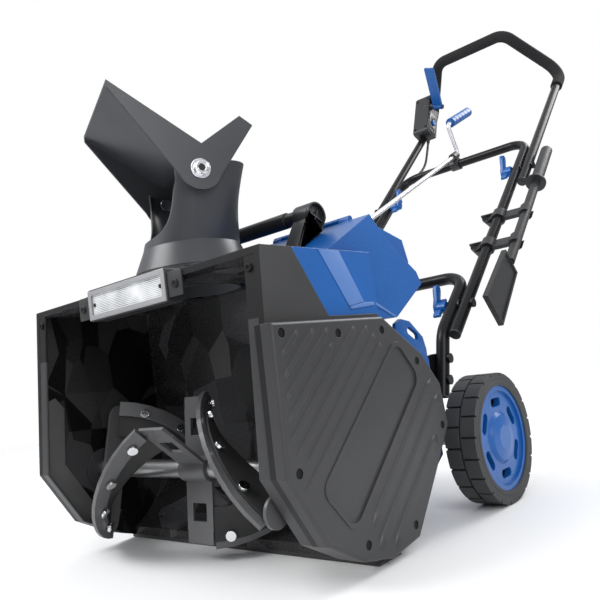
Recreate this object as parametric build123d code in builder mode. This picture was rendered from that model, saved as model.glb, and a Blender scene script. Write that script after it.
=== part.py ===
from build123d import *
from math import acos, atan2, cos, hypot, radians, sin, sqrt, tan
import os

# A walk-behind cordless snow blower. Millimetres, +Z up, front of the machine towards -Y.
# The origin is the middle of the scraper bar's rest face, on the ground.

os.makedirs("parts", exist_ok=True)


def save(builder, name):
    builder.part.label = name
    export_step(builder.part, f"parts/{name}.step")


# Clearances shared by the whole machine
run_fit = 0.05
loose_fit = 0.3
seat_gap = 0.1

# Scoop
half_width = 230.0
side_wall = 8.0
top_wall = 8.0
saddle_skin = 4.0
top_z = 351.5
mouth_top_y = -145.0
mouth_low_y = -162.0
mouth_low_z = 122.7
sill_mid_y = -116.0
sill_mid_z = 48.0
sill_low_y = -60.0
sill_low_z = 17.0
scraper_depth = 44.0
scraper_thick = 4.0
scraper_overhang = 1.0
scraper_recess = 2.6
scraper_bolt_count = 4
scraper_bolt_step = 120.0
arc_mid_turn = -45.0
scoop_radius = 106.0
back_wall = 5.0
heel_z = 60.0
mouth_reach = 60.0

# Auger
auger_y = -65.0
auger_z = 113.0
shaft_radius = 12.0
shaft_stand = 1.0
flight_in = 46.0
flight_out = 88.0
flight_thick = 3.0
blade_in = 76.0
blade_out = 97.0
blade_thick = 6.0
flight_inner_x = 26.0
flight_outer_x = 194.0
flight_start_left = 138.0
flight_start_right = 84.0
flight_turn = 118.0
flight_steps = 12
flight_bolt_step = 3
flights_per_side = 2
paddle_reach = 92.0
paddle_step = 1.0
paddle_window = 22.0
paddle_window_width = 26.4
paddle_window_at = 53.4
arm_width = 34.0
arm_thick = 4.0
sleeve_wall = 4.0
bolt_clear = 0.5
bolt_seat = 1.0
auger_bolt_head = 6.5
auger_bolt_shank = 2.5
auger_bolt_head_height = 3.5
bearing_radius = 22.0
bearing_flange = 30.0
cap_lip = 2.0
cap_length = 6.0

# Belt drive in the side cover
cover_depth = 15.0
cover_skin = 2.5
cover_rim = 3.0
cover_edge_radius = 4.0
cover_drop = 5.0
cover_step = 4.0
cover_top_rear_y = 33.0
cover_knee_y = 109.0
cover_knee_z = 222.0
cover_rear_high_y = 145.0
cover_rear_high_z = 180.0
cover_rear_low_y = 150.0
cover_rear_low_z = 126.0
cover_heel_y = 109.0
cover_heel_z = 81.0
cover_foot_y = 46.0
cover_foot_z = 13.0
cover_toe_y = -10.0
cover_toe_z = 6.0
screw_inset = 17.0
head_sink = 1.0
panel_y = -10.0
panel_z = 147.0
panel_slant = 40.0
panel_length = 216.0
panel_width = 62.0
panel_depth = 1.2
panel_lip = 4.0
boss_radius = 7.0
belt_width = 7.0
belt_thick = 4.0
pulley_width = 9.0
pulley_gap = 1.5
pulley_flange = 0.8
groove_depth = 2.0
auger_pulley_radius = 60.0
motor_pulley_radius = 16.0
motor_y = 98.0
motor_z = 172.0
motor_radius = 42.0
motor_length = 120.0
motor_shaft_radius = 6.0
shaft_clear = 2.0
idler_radius = 12.0
idler_bolt_radius = 3.0
stud_disc = 8.0
motor_flange = 6.0
motor_flange_radius = 47.0
shaft_depth = 40.0
shaft_end_gap = 1.0

# Chute
chute_y = -34.0
chute_turn = -22.5
duct_radius = 57.5
duct_wall = 4.0
duct_top_z = 396.0
collar_thick = 3.0
neck_wall = 4.0
neck_top_z = 402.0
ring_radius = 77.0
skirt_wall = 2.5
ring_low_z = 370.0
ring_teeth = 48
tooth_depth = 2.0
chute_wall = 3.0
throat_z = 498.0
throat_back = 62.0
throat_front = 36.0
throat_half = 88.0
throat_corner = 26.0
lip_z = 412.0
lip_mid_z = 440.0
lip_top_z = 478.0
lip_start = 1.0
lip_in = 16.0
lip_mid_in = 26.0
lip_lift = 8.0
boss_depth = 9.0
boss_round = 11.0

# Deflector
pivot_reach = 7.0
pivot_z = 485.0
deflector_wall = 3.0
deflector_gap = 0.6
roof_tip_reach = 112.0
roof_tip_z = 593.0
roof_rear_reach = 2.0
roof_rear_z = 518.0
cheek_low_z = 584.0
cheek_front_reach = 34.0
cheek_front_z = 477.0
cheek_round = 27.0
tab_low_reach = -71.0
tab_low_z = 545.0
tab_top_reach = -54.0
tab_top_z = 557.0
roof_tail_reach = -34.0
roof_tail_z = 505.0
pivot_bolt_radius = 4.0
pivot_head_radius = 9.0
pivot_head_height = 5.0
nut_inset = 15.0
nut_height = 4.0

# Hood
hood_half = 212.0
hood_wall = 3.5
saddle_front_y = -97.0
saddle_low_front_y = -49.0
saddle_low_z = 276.0
slope_foot_y = -21.0
ridge_y = 87.0
ridge_z = 408.0
knee_y = 123.0
knee_z = 372.0
tail_y = 183.0
tail_z = 334.0
rump_y = 192.0
rump_z = 317.0
hood_floor_z = 272.0
hood_floor_rear_y = 117.0
chute_recess = 80.0
carry_half = 130.0
carry_y = 60.0
carry_z = 426.0
carry_radius = 9.0
carry_grip_radius = 11.0
carry_grip_half = 96.0
carry_bend = 16.2
carry_foot_height = 23.0

# Battery lid
lid_inner_x = 22.0
lid_outer_x = 196.0
lid_rear_top_y = 184.0
lid_rear_top_z = 383.0
lid_back_y = 193.0
lid_back_z = 352.0
lid_front_y = 96.0
lid_top_front_y = 99.0
lid_top_front_z = 405.5
lid_wall = 3.0
lid_margin = 12.0
hinge_y = 92.0
hinge_z = 411.0
hinge_radius = 4.5
hinge_pin_radius = 2.0
knuckle_inset = 18.0
knuckle_length = 16.0
knuckle_gap = 1.0
strap_run = 8.0
pack_width = 70.0
pack_depth = 58.0
pack_height = 62.0
pack_gap = 8.0
pack_clear = 2.0
pack_corner = 6.0

# Rear body
body_half = 188.0
body_wall = 4.0
body_low_z = 62.0
body_rear_y = 222.0
body_shoulder_z = 212.0
body_step_run = 19.0
body_step_fall = 10.0
body_toe_rise = 13.0
body_toe_run = 22.0
gland_x = -92.0
gland_y = 190.0
gland_radius = 6.5
gland_length = 12.0
controller_length = 110.0
controller_depth = 90.0
controller_height = 44.0
controller_corner = 5.0
controller_side_gap = 19.0
controller_front_gap = 30.0
axle_y = 262.0
axle_radius = 6.0
axle_groove = 3.0
axle_groove_depth = 1.0
axle_spacer_wall = 3.0
bracket_thick = 4.0
bracket_flange = 24.0
bracket_ear = 12.0
bracket_rise = 16.0
bracket_heel = 30.0
bracket_foot = 22.0
flange_low_z = 80.0
flange_high_z = 200.0
flange_bolt_inset = 9.0
leg_bolt_low_z = 172.0
leg_bolt_high_z = 206.0

# Wheels
wheel_radius = 90.0
rim_radius = 72.0
wheel_clear = 34.0
wheel_width = 44.0
tread_count = 20
tread_depth = 4.0
tread_width = 3.0
tread_groove = 3.0
tread_shift = 9.0
hub_radius = 18.0
hub_lip = 2.0
hub_boss_inset = 12.0
hub_recess = 6.0
hub_web = 10.0
hub_rim_wall = 7.0
hub_holes = 6
hub_hole_ring = 49.0
hub_hole_turn = 30.0
hub_hole_length = 30.0
hub_hole_width = 12.0
dome_base = 36.0
dome_shoulder = 31.0
dome_top = 17.0
dome_rise = 4.5
dome_crown = 2.5

# Handle tubes: all three lie in one inclined plane
tube_radius = 10.0
tube_wall = 1.6
frame_radius = 11.0
frame_half = 140.0
handle_gap = 4.0
fold_gap = 3.0
handle_slope = 40.5
handle_ref_y = 846.0
handle_ref_z = 661.0
frame_top_y = 480.0
frame_knee_y = 364.0
frame_foot_y = 331.0
frame_foot_z = 146.0
frame_bend = 42.0
knee_bend = 60.0
middle_low_y = 358.0
middle_bend = 45.0
low_bolt_y = 415.0
upper_low_y = 706.0
fold_y = 750.0
loop_corner_y = 1108.0
loop_top_y = 1001.0
loop_top_z = 998.0
loop_top_half = 95.0
loop_bend = 42.0
foam_radius = 14.0
foam_lead = 40.0
foam_lead_left = 6.0
tube_cap_length = 14.0
tube_cap_flange = 3.0
handle_bolt_radius = 4.0
bolt_head_radius = 8.0
bolt_head_height = 4.0
spacer_radius = 9.0
knob_hub = 10.0
knob_length = 16.0
knob_span = 46.0
knob_thick = 7.0
knob_gap = 0.8
knob_wing_stand = 4.0

# Chute crank
crank_x = -16.0
crank_rod_radius = 5.0
rod_clear = 1.0
crank_slope = 25.3
crank_bush_y = 843.0
crank_bush_z = 681.5
crank_bush_radius = 9.5
crank_bush_length = 26.0
crank_rise = 75.0
crank_tail = 26.0
crank_bend = 12.0
clamp_half = 11.0
clamp_wall = 4.0
crank_grip_radius = 11.0
crank_grip_length = 125.0
grip_lead = 18.0
grip_stub = 4.0
grip_round = 3.0
ball_radius = 9.0
cup_wall = 2.6
joint_y = 120.0
pinion_radius = 6.0
pinion_length = 10.0
pinion_teeth = 10
pinion_z = 361.0
pinion_gap = 3.0
pinion_shaft_radius = 3.5
pinion_post_y = 80.0
pinion_post_depth = 12.0
pinion_post_width = 18.0

# Switch box, bail lever and lead
switch_inset = 7.0
switch_y = 1050.0
switch_z = 880.0
switch_tilt = 66.0
switch_length = 130.0
switch_thick = 50.0
switch_width = 48.0
switch_corner = 9.0
switch_round = 3.0
button_radius = 8.0
button_height = 6.0
button_travel = 4.0
button_drop = 25.0
button_stand = 1.0
button_round = 1.5
bail_base = Vector(-138, 1050, 902)
bail_tip = Vector(-100, 955, 972)
bail_target = Vector(-104, 1013, 985)
bail_thick = 8.0
bail_half_width = 13.0
bail_root = 40.0
bail_head = 2.5
bail_barrel = 8.0
bail_eye = 7.0
bail_set = 4.0
bail_pin_radius = 3.0
lead_radius = 3.2
lead_hang = 7.0
lead_box_step = 14.0
lead_box_fall = 44.0
lead_bow_y = 946.0
lead_bow_step = 10.0
lead_bow = 16.0
lead_join_y = 850.0
lead_leg_y = 660.0
lead_low_y = 565.0
lead_low_step = 12.0
lead_cross_x = -112.0
lead_cross_y = 470.0
lead_cross_fall = 4.0
lead_loop_high = Vector(-84, 392, 262)
lead_loop_low = Vector(-84, 310, 252)
lead_loop_end = Vector(-88, 236, 262)
lead_gland_run = 10.0
lead_round = 0.45
lead_clip_y = 613.0
lead_clip_step = 6.0
lead_clip_length = 12.0
lead_clip_wall = 3.0
lead_clip_clear = 1.0

# Clean-out tool on the right leg
tool_stand = 30.0
tool_drop = 4.0
tool_top_y = 794.0
guard_y = 692.0
shaft_low_y = 495.0
tool_grip_radius = 12.0
tool_round = 4.0
tool_shaft_radius = 9.0
guard_radius = 20.0
guard_thick = 4.0
blade_length = 132.0
blade_width = 66.0
blade_neck = 52.8
blade_plate = 4.0
blade_rim = 9.0
clip_low_y = 542.0
clip_high_y = 615.0
clip_wall = 4.0
clip_length = 22.0
clip_ear_stand = 4.0
clip_ear_base = 16.8
clip_ear_edge = 18.0

# Lamp
lamp_half = 77.0
lamp_low_z = 320.0
lamp_high_z = 356.0
lamp_front_y = -149.0
lamp_depth = 23.0
lamp_frame = 5.0
lamp_lens_thick = 4.0
lamp_ear = 26.0
lamp_ear_thick = 3.0
lamp_ear_lap = 2.0
lamp_corner = 4.0
lamp_setback = 1.0
screw_radius = 2.5
screw_head_radius = 5.0
screw_head_height = 3.0


# Derived places
wheel_inner_x = body_half + wheel_clear
wheel_outer_x = wheel_inner_x + wheel_width
middle_half = frame_half + frame_radius + handle_gap + tube_radius
upper_half = middle_half + 2 * tube_radius + fold_gap
tool_x = upper_half + tool_stand
skirt_radius = chute_recess - 2 * loose_fit
auger_at = (auger_y, auger_z)
motor_at = (motor_y, motor_z)
axle_at = (axle_y, wheel_radius)
hinge_at = (hinge_y, hinge_z)
scraper_bolt_x = [scraper_bolt_step * (n - (scraper_bolt_count - 1) / 2) for n in range(scraper_bolt_count)]
lamp_bolt_x = lamp_half + lamp_frame + lamp_ear / 2
lamp_bolt_y = lamp_front_y + lamp_depth
back_y = auger_y + scoop_radius + back_wall
cover_x = half_width + cover_depth
floor_z = scraper_thick
scraper_front_y = -scraper_depth / 2
sill_drop = sqrt(scoop_radius**2 - (scraper_front_y - auger_y) ** 2)
inner_half = half_width - side_wall
side_outline = [
    (mouth_top_y, top_z),
    (back_y, top_z),
    (back_y, heel_z),
    (scraper_depth / 2, floor_z),
    (scraper_front_y, floor_z),
    (sill_low_y, sill_low_z),
    (sill_mid_y, sill_mid_z),
    (mouth_low_y, mouth_low_z),
]
cover_top_z = saddle_low_z - cover_drop
cover_front_y = mouth_low_y + cover_step
cover_outline = [
    (cover_front_y, cover_top_z),
    (cover_top_rear_y, cover_top_z),
    (cover_knee_y, cover_knee_z),
    (cover_rear_high_y, cover_rear_high_z),
    (cover_rear_low_y, cover_rear_low_z),
    (cover_heel_y, cover_heel_z),
    (cover_foot_y, cover_foot_z),
    (cover_toe_y, cover_toe_z),
    (sill_low_y, sill_low_z),
    (sill_mid_y, sill_mid_z),
    (mouth_low_y, mouth_low_z),
]
# The cover's screws sit just inside its corners, towards the panel
screw_corners = [
    (cover_front_y, cover_top_z),
    ((cover_front_y + cover_top_rear_y) / 2, cover_top_z),
    (cover_top_rear_y, cover_top_z),
    (cover_knee_y, cover_knee_z),
    (cover_rear_low_y, cover_rear_low_z),
    (cover_foot_y, cover_foot_z),
    (sill_low_y, sill_low_z),
    (mouth_low_y, mouth_low_z),
]
cover_screws = []
for corner_y, corner_z in screw_corners:
    reach = hypot(panel_y - corner_y, panel_z - corner_z)
    screw_y = corner_y + (panel_y - corner_y) * screw_inset / reach
    screw_z = corner_z + (panel_z - corner_z) * screw_inset / reach
    cover_screws.append((screw_y, screw_z))
saddle_outline = [
    (saddle_front_y, top_z),
    (saddle_low_front_y, saddle_low_z),
    (back_y, saddle_low_z),
    (back_y, top_z),
]
hood_outline = [
    (slope_foot_y, top_z - saddle_skin),
    (slope_foot_y, top_z),
    (ridge_y, ridge_z),
    (knee_y, knee_z),
    (tail_y, tail_z),
    (rump_y, rump_z),
    (hood_floor_rear_y, hood_floor_z),
    (back_y, hood_floor_z),
    (back_y, top_z - saddle_skin),
]

# Belt run
pulley_x = half_width + pulley_gap
belt_span = hypot(motor_y - auger_y, motor_z - auger_z)
belt_angle = atan2(motor_z - auger_z, motor_y - auger_y)
big_core = auger_pulley_radius - groove_depth + loose_fit
small_core = motor_pulley_radius - groove_depth + loose_fit
# The idler rides on the belt's lower run
tangent_angle = belt_angle - acos((big_core - small_core) / belt_span)
tangent = Vector(0, cos(tangent_angle), sin(tangent_angle))
big_touch = Vector(0, auger_y, auger_z) + tangent * (big_core + belt_thick)
small_touch = Vector(0, motor_y, motor_z) + tangent * (small_core + belt_thick)
idler_centre = (big_touch + small_touch) * 0.5 + tangent * (idler_radius + loose_fit)
idler_at = (idler_centre.Y, idler_centre.Z)
shaft_right = pulley_x + pulley_width + shaft_stand


def incline(y):
    return handle_ref_z + tan(radians(handle_slope)) * (y - handle_ref_y)


incline_dir = Vector(0, cos(radians(handle_slope)), sin(radians(handle_slope)))
incline_up = Vector(0, -sin(radians(handle_slope)), cos(radians(handle_slope)))


def on_incline(x, y, rise=0.0):
    return Vector(x, y, incline(y)) + incline_up * rise


def bar(start, end, radius, mode=Mode.ADD):
    start = Vector(*start)
    end = Vector(*end)
    with BuildSketch(Plane(origin=start, z_dir=end - start)) as section:
        Circle(radius)
    extrude(section.sketch, amount=(end - start).length, mode=mode)


def rod(x_from, x_to, at, radius, mode=Mode.ADD):
    """Round bar along X through the point at, given as (y, z)."""
    bar((x_from, *at), (x_to, *at), radius, mode)


def tube_along(points, radii, outer, inner):
    with BuildLine() as path:
        FilletPolyline(*points, radius=radii)
    with BuildSketch(Plane(origin=path.line @ 0, z_dir=path.line % 0)) as section:
        Circle(outer)
        if inner:
            Circle(inner, mode=Mode.SUBTRACT)
    sweep(section.sketch, path=path.line)


def side_slab(outline, x_from, x_to, mode=Mode.ADD):
    with BuildSketch(Plane.YZ.offset(x_from)) as section:
        with BuildLine():
            Polyline(*outline, close=True)
        make_face()
    extrude(section.sketch, amount=x_to - x_from, mode=mode)


# Scoop housing with its side walls, floor lip, belt case wall and chute opening
with BuildPart() as auger_housing:
    side_slab(side_outline, -half_width, half_width)
    side_slab(cover_outline, inner_half, half_width)
    with BuildSketch(Plane.YZ.offset(-inner_half)):
        with BuildLine():
            front_y = mouth_low_y - mouth_reach
            arc_end = (scraper_front_y, auger_z - sill_drop)
            mid_angle = radians(arc_mid_turn)
            arc_mid = (auger_y + scoop_radius * cos(mid_angle), auger_z + scoop_radius * sin(mid_angle))
            Polyline(
                arc_end,
                (scraper_front_y, -mouth_reach),
                (front_y, -mouth_reach),
                (front_y, top_z - top_wall),
                (auger_y + scoop_radius, top_z - top_wall),
                (auger_y + scoop_radius, auger_z),
            )
            ThreePointArc((auger_y + scoop_radius, auger_z), arc_mid, arc_end)
        make_face()
    extrude(amount=2 * inner_half, mode=Mode.SUBTRACT)
    side_slab(saddle_outline, half_width - saddle_skin, half_width, mode=Mode.SUBTRACT)
    side_slab(saddle_outline, -half_width, -half_width + saddle_skin, mode=Mode.SUBTRACT)
    rebate = [(saddle_front_y, top_z), (back_y, top_z)]
    rebate_run = (saddle_low_front_y - saddle_front_y) / (top_z - saddle_low_z)
    rebate_end = saddle_front_y + rebate_run * saddle_skin
    rebate += [(back_y, top_z - saddle_skin), (rebate_end, top_z - saddle_skin)]
    side_slab(rebate, -half_width, half_width, mode=Mode.SUBTRACT)
    with BuildSketch(Plane.XY.offset(top_z - top_wall)):
        with Locations((0, chute_y)):
            port = 2 * (duct_radius + duct_wall + seat_gap)
            Rectangle(port, port)
    extrude(amount=top_wall, mode=Mode.SUBTRACT)
    with BuildSketch(Plane.XY.offset(top_z - top_wall)):
        with Locations((0, mouth_top_y)):
            Rectangle(2 * (lamp_half + lamp_frame + seat_gap), 2 * lamp_depth)
    extrude(amount=top_wall, mode=Mode.SUBTRACT)
    with BuildSketch(Plane.YZ.offset(-half_width)):
        with Locations(auger_at):
            Circle(bearing_radius + seat_gap)
    extrude(amount=2 * half_width, mode=Mode.SUBTRACT)
    with BuildSketch(Plane.YZ.offset(inner_half)):
        with Locations(motor_at):
            Circle(motor_shaft_radius + shaft_clear)
        with Locations(*cover_screws):
            Circle(screw_radius + seat_gap)
    extrude(amount=side_wall, mode=Mode.SUBTRACT)
    with BuildSketch(Plane.XY):
        with Locations(*[(x, 0) for x in scraper_bolt_x]):
            Circle(handle_bolt_radius + seat_gap)
    extrude(amount=heel_z + scraper_depth, mode=Mode.SUBTRACT)
    with BuildSketch(Plane.XY.offset(top_z - top_wall)):
        with Locations((-lamp_bolt_x, lamp_bolt_y), (lamp_bolt_x, lamp_bolt_y)):
            Circle(screw_radius + seat_gap)
    extrude(amount=top_wall, mode=Mode.SUBTRACT)
    rod(half_width, pulley_x - loose_fit, idler_at, stud_disc)
    rod(half_width, shaft_right, idler_at, idler_bolt_radius)
save(auger_housing, "auger_housing")

# Scraper bar with recessed bolts, so that its rest face stays flat
with BuildPart() as scraper_bar:
    with BuildSketch():
        Rectangle(2 * (half_width + scraper_overhang), scraper_depth)
        with Locations(*[(x, 0) for x in scraper_bolt_x]):
            Circle(handle_bolt_radius + seat_gap, mode=Mode.SUBTRACT)
    extrude(amount=scraper_thick)
    with BuildSketch():
        with Locations(*[(x, 0) for x in scraper_bolt_x]):
            Circle(bolt_head_radius + seat_gap)
    extrude(amount=scraper_recess, mode=Mode.SUBTRACT)
save(scraper_bar, "scraper_bar")

with BuildPart() as scraper_bolts:
    for x in scraper_bolt_x:
        bar((x, 0, scraper_recess / 4), (x, 0, scraper_recess), bolt_head_radius)
        bar((x, 0, scraper_recess / 4), (x, 0, scraper_thick + scraper_depth / 2), handle_bolt_radius)
save(scraper_bolts, "scraper_bolts")

# Belt cover, a ribbed shell screwed to the belt case wall
with BuildPart() as belt_cover:
    side_slab(cover_outline, half_width, cover_x)
    fillet(belt_cover.faces().sort_by(Axis.X)[-1].edges(), cover_edge_radius)
    with BuildSketch(Plane.YZ.offset(half_width)):
        with BuildLine():
            Polyline(*cover_outline, close=True)
        make_face()
        offset(amount=-cover_rim, mode=Mode.REPLACE)
    extrude(amount=cover_depth - cover_skin, mode=Mode.SUBTRACT)
    with BuildSketch(Plane.YZ.offset(half_width)):
        with Locations(*cover_screws):
            Circle(boss_radius)
    extrude(amount=cover_depth - cover_skin)
    with BuildSketch(Plane.YZ.offset(half_width)):
        with Locations(*cover_screws):
            Circle(screw_radius + seat_gap)
    extrude(amount=cover_depth, mode=Mode.SUBTRACT)
    with BuildSketch(Plane.YZ.offset(cover_x - screw_head_height - head_sink)):
        with Locations(*cover_screws):
            Circle(screw_head_radius + seat_gap)
    extrude(amount=screw_head_height + head_sink, mode=Mode.SUBTRACT)
    with BuildSketch(Plane.YZ.offset(cover_x - panel_depth)):
        with Locations(Location((panel_y, panel_z), panel_slant)):
            RectangleRounded(panel_length, panel_width, panel_width / 4)
    extrude(amount=panel_depth, mode=Mode.SUBTRACT)
    with BuildSketch(Plane.YZ.offset(cover_x)):
        with Locations(Location((panel_y, panel_z), panel_slant)):
            RectangleRounded(panel_length + 2 * panel_lip, panel_width + 2 * panel_lip, panel_width / 4)
            RectangleRounded(panel_length, panel_width, panel_width / 4, mode=Mode.SUBTRACT)
    extrude(amount=panel_depth)
save(belt_cover, "belt_cover")

with BuildPart() as panel_screws:
    head_x = cover_x - head_sink - screw_head_height
    for at in cover_screws:
        rod(head_x, cover_x - head_sink, at, screw_head_radius)
        rod(half_width - side_wall / 2, head_x, at, screw_radius)
    for side in (-1, 1):
        seat = Vector(side * lamp_bolt_x, lamp_bolt_y, top_z + lamp_ear_thick)
        bar(seat - Vector(0, 0, lamp_ear_thick + top_wall), seat, screw_radius)
        bar(seat, seat + Vector(0, 0, screw_head_height), screw_head_radius)
save(panel_screws, "panel_screws")

# Auger: shaft, rubber flights, steel strips along their edges, paddles, end arms and bolts
shaft_left = -(half_width + shaft_stand)
with BuildPart() as auger_shaft:
    rod(shaft_left, shaft_right, auger_at, shaft_radius)
save(auger_shaft, "auger_shaft")

flight_radius = (flight_in + flight_out) / 2
flight_lead = (flight_outer_x - flight_inner_x) / radians(flight_turn)
flight_start = {-1: flight_start_left, 1: flight_start_right}


def flight_plane(side, phase, share, radius, shift):
    """Section plane of a flight: x along the radius, y across the strip, z along its run."""
    angle = radians(flight_start[side] + phase + flight_turn * share)
    out = Vector(0, cos(angle), sin(angle))
    along = Vector(side * flight_lead, -flight_radius * sin(angle), flight_radius * cos(angle)).normalized()
    face = along.cross(out)
    x = side * (flight_inner_x + (flight_outer_x - flight_inner_x) * share)
    centre = Vector(x, auger_y, auger_z) + out * radius + face * shift * side
    return Plane(origin=centre, x_dir=out, z_dir=along)


def flight_strip(side, phase, inner, outer, thick, shift):
    sections = []
    for step in range(flight_steps + 1):
        plane = flight_plane(side, phase, step / flight_steps, (inner + outer) / 2, shift)
        with BuildSketch(plane) as section:
            Rectangle(outer - inner, thick)
        sections.append(section.sketch)
    loft(sections, ruled=True)


phases = [360 / flights_per_side * n for n in range(flights_per_side)]
bolt_shares = [step / flight_steps for step in range(1, flight_steps, flight_bolt_step)]
bolt_ring = (blade_in + flight_out) / 2
blade_shift = (flight_thick + blade_thick) / 2 + loose_fit


def bolt_planes():
    for side in (-1, 1):
        for phase in phases:
            for share in bolt_shares:
                yield side, flight_plane(side, phase, share, bolt_ring, 0)


def flight_bolt_holes():
    for side, plane in bolt_planes():
        face = plane.y_dir * side
        reach = face * (blade_shift + blade_thick + flight_thick)
        bar(plane.origin - reach, plane.origin + reach, auger_bolt_shank + bolt_clear, mode=Mode.SUBTRACT)


with BuildPart() as auger_flights:
    for side in (-1, 1):
        for phase in phases:
            flight_strip(side, phase, flight_in, flight_out, flight_thick, 0)
    flight_bolt_holes()
save(auger_flights, "auger_flights")

with BuildPart() as auger_blades:
    for side in (-1, 1):
        for phase in phases:
            flight_strip(side, phase, blade_in, blade_out, blade_thick, blade_shift)
    flight_bolt_holes()
save(auger_blades, "auger_blades")

with BuildPart() as auger_bolts:
    for side, plane in bolt_planes():
        face = plane.y_dir * side
        seat = plane.origin - face * (flight_thick / 2 + bolt_seat)
        tail = plane.origin + face * (blade_shift + blade_thick / 2 + bolt_seat)
        bar(seat - face * auger_bolt_head_height, seat, auger_bolt_head)
        bar(seat, tail + face * auger_bolt_head_height, auger_bolt_shank)
        bar(tail, tail + face * auger_bolt_head_height, auger_bolt_head)
save(auger_bolts, "auger_bolts")

# Centre paddles on a hub sleeve carry the inner ends of the flights, end arms the outer ends
flight_tip = flight_thick / 2 * flight_radius / hypot(flight_lead, flight_radius)
arm_x = flight_outer_x + flight_tip + seat_gap + arm_thick / 2
paddle_half = flight_inner_x - flight_tip - seat_gap
paddle_root = blade_in - seat_gap
with BuildPart() as auger_frame:
    rod(-paddle_half, paddle_half, auger_at, shaft_radius + sleeve_wall)
    for side in (-1, 1):
        for phase in phases:
            angle = radians(flight_start[side] + phase)
            out = Vector(0, cos(angle), sin(angle))
            paddle_plane = Plane(origin=(0, *auger_at), x_dir=out, z_dir=Vector(1, 0, 0).cross(out))
            with BuildSketch(paddle_plane):
                with Locations((paddle_root / 2, 0)):
                    Rectangle(paddle_root, 2 * paddle_half)
                with Locations((paddle_reach / 2, 0)):
                    Rectangle(paddle_reach, 2 * (paddle_half - paddle_step))
                with Locations((paddle_window_at, 0)):
                    Rectangle(paddle_window, paddle_window_width, mode=Mode.SUBTRACT)
            extrude(amount=arm_thick / 2, both=True)
        with BuildSketch(Plane.YZ.offset(side * arm_x - arm_thick / 2)):
            with Locations(Location(auger_at, flight_start[side] + flight_turn)):
                SlotOverall(2 * paddle_reach, arm_width)
                Circle(shaft_radius + 2 * sleeve_wall)
        extrude(amount=arm_thick)
    rod(-half_width, half_width, auger_at, shaft_radius + run_fit, mode=Mode.SUBTRACT)
save(auger_frame, "auger_frame")

with BuildPart() as auger_bearings:
    for side in (-1, 1):
        inside = side * (inner_half - bracket_thick)
        outside = side * (half_width + seat_gap)
        rod(inside, side * inner_half, auger_at, bearing_flange)
        rod(inside, outside, auger_at, bearing_radius)
        rod(inside, outside, auger_at, shaft_radius + run_fit, mode=Mode.SUBTRACT)
    cap_x = -(half_width + seat_gap)
    rod(cap_x - cap_length, cap_x, auger_at, bearing_flange)
    rod(cap_x - cap_length / 2, cap_x, auger_at, bearing_radius - cap_lip, mode=Mode.SUBTRACT)
save(auger_bearings, "auger_bearings")


# Belt drive: pulleys, belt, idler and motor


def pulley(at, radius, bore):
    rod(pulley_x, pulley_x + pulley_width, at, radius)
    ring_x = pulley_x + pulley_flange
    with BuildSketch(Plane.YZ.offset(ring_x)) as groove:
        with Locations(at):
            Circle(radius + groove_depth)
            Circle(radius - groove_depth, mode=Mode.SUBTRACT)
    extrude(groove.sketch, amount=pulley_width - 2 * pulley_flange, mode=Mode.SUBTRACT)
    rod(pulley_x, pulley_x + pulley_width, at, bore, mode=Mode.SUBTRACT)


with BuildPart() as auger_pulley:
    pulley(auger_at, auger_pulley_radius, shaft_radius + run_fit)
save(auger_pulley, "auger_pulley")

belt_x = pulley_x + (pulley_width - belt_width) / 2
with BuildPart() as drive_belt:
    for extra, mode in ((belt_thick, Mode.ADD), (0, Mode.SUBTRACT)):
        with BuildSketch(Plane.YZ.offset(belt_x)) as loop:
            with Locations(auger_at):
                Circle(big_core + extra)
            with Locations(motor_at):
                Circle(small_core + extra)
            make_hull()
        extrude(loop.sketch, amount=belt_width, mode=mode)
save(drive_belt, "drive_belt")

with BuildPart() as idler_pulley:
    rod(pulley_x, pulley_x + pulley_width, idler_at, idler_radius)
    rod(pulley_x, pulley_x + pulley_width, idler_at, idler_bolt_radius + run_fit, mode=Mode.SUBTRACT)
save(idler_pulley, "idler_pulley")

motor_face_x = body_half - body_wall
with BuildPart() as motor:
    rod(motor_face_x - motor_length, motor_face_x, motor_at, motor_radius)
    rod(motor_face_x - motor_flange, motor_face_x, motor_at, motor_flange_radius)
    rod(motor_face_x - shaft_depth, motor_face_x, motor_at, motor_shaft_radius + run_fit, mode=Mode.SUBTRACT)
save(motor, "motor")

with BuildPart() as motor_pulley:
    pulley(motor_at, motor_pulley_radius, motor_shaft_radius)
    rod(motor_face_x - shaft_depth + shaft_end_gap, shaft_right, motor_at, motor_shaft_radius)
save(motor_pulley, "motor_pulley")

# Chute: fixed duct pipe and collar, turning chute with its gear ring, deflector
chute_base = Plane(origin=(0, chute_y, 0), x_dir=(cos(radians(chute_turn)), sin(radians(chute_turn)), 0))
throw_dir = -chute_base.y_dir
chute_side = Plane(origin=(0, chute_y, 0), x_dir=throw_dir, z_dir=throw_dir.cross(Vector(0, 0, 1)))
spigot = duct_radius + duct_wall
neck_in = spigot + seat_gap
neck_out = neck_in + neck_wall
neck_low_z = top_z + collar_thick + loose_fit


def chute_level(z):
    return Plane(origin=chute_base.origin + Vector(0, 0, z), x_dir=chute_base.x_dir)


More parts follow.
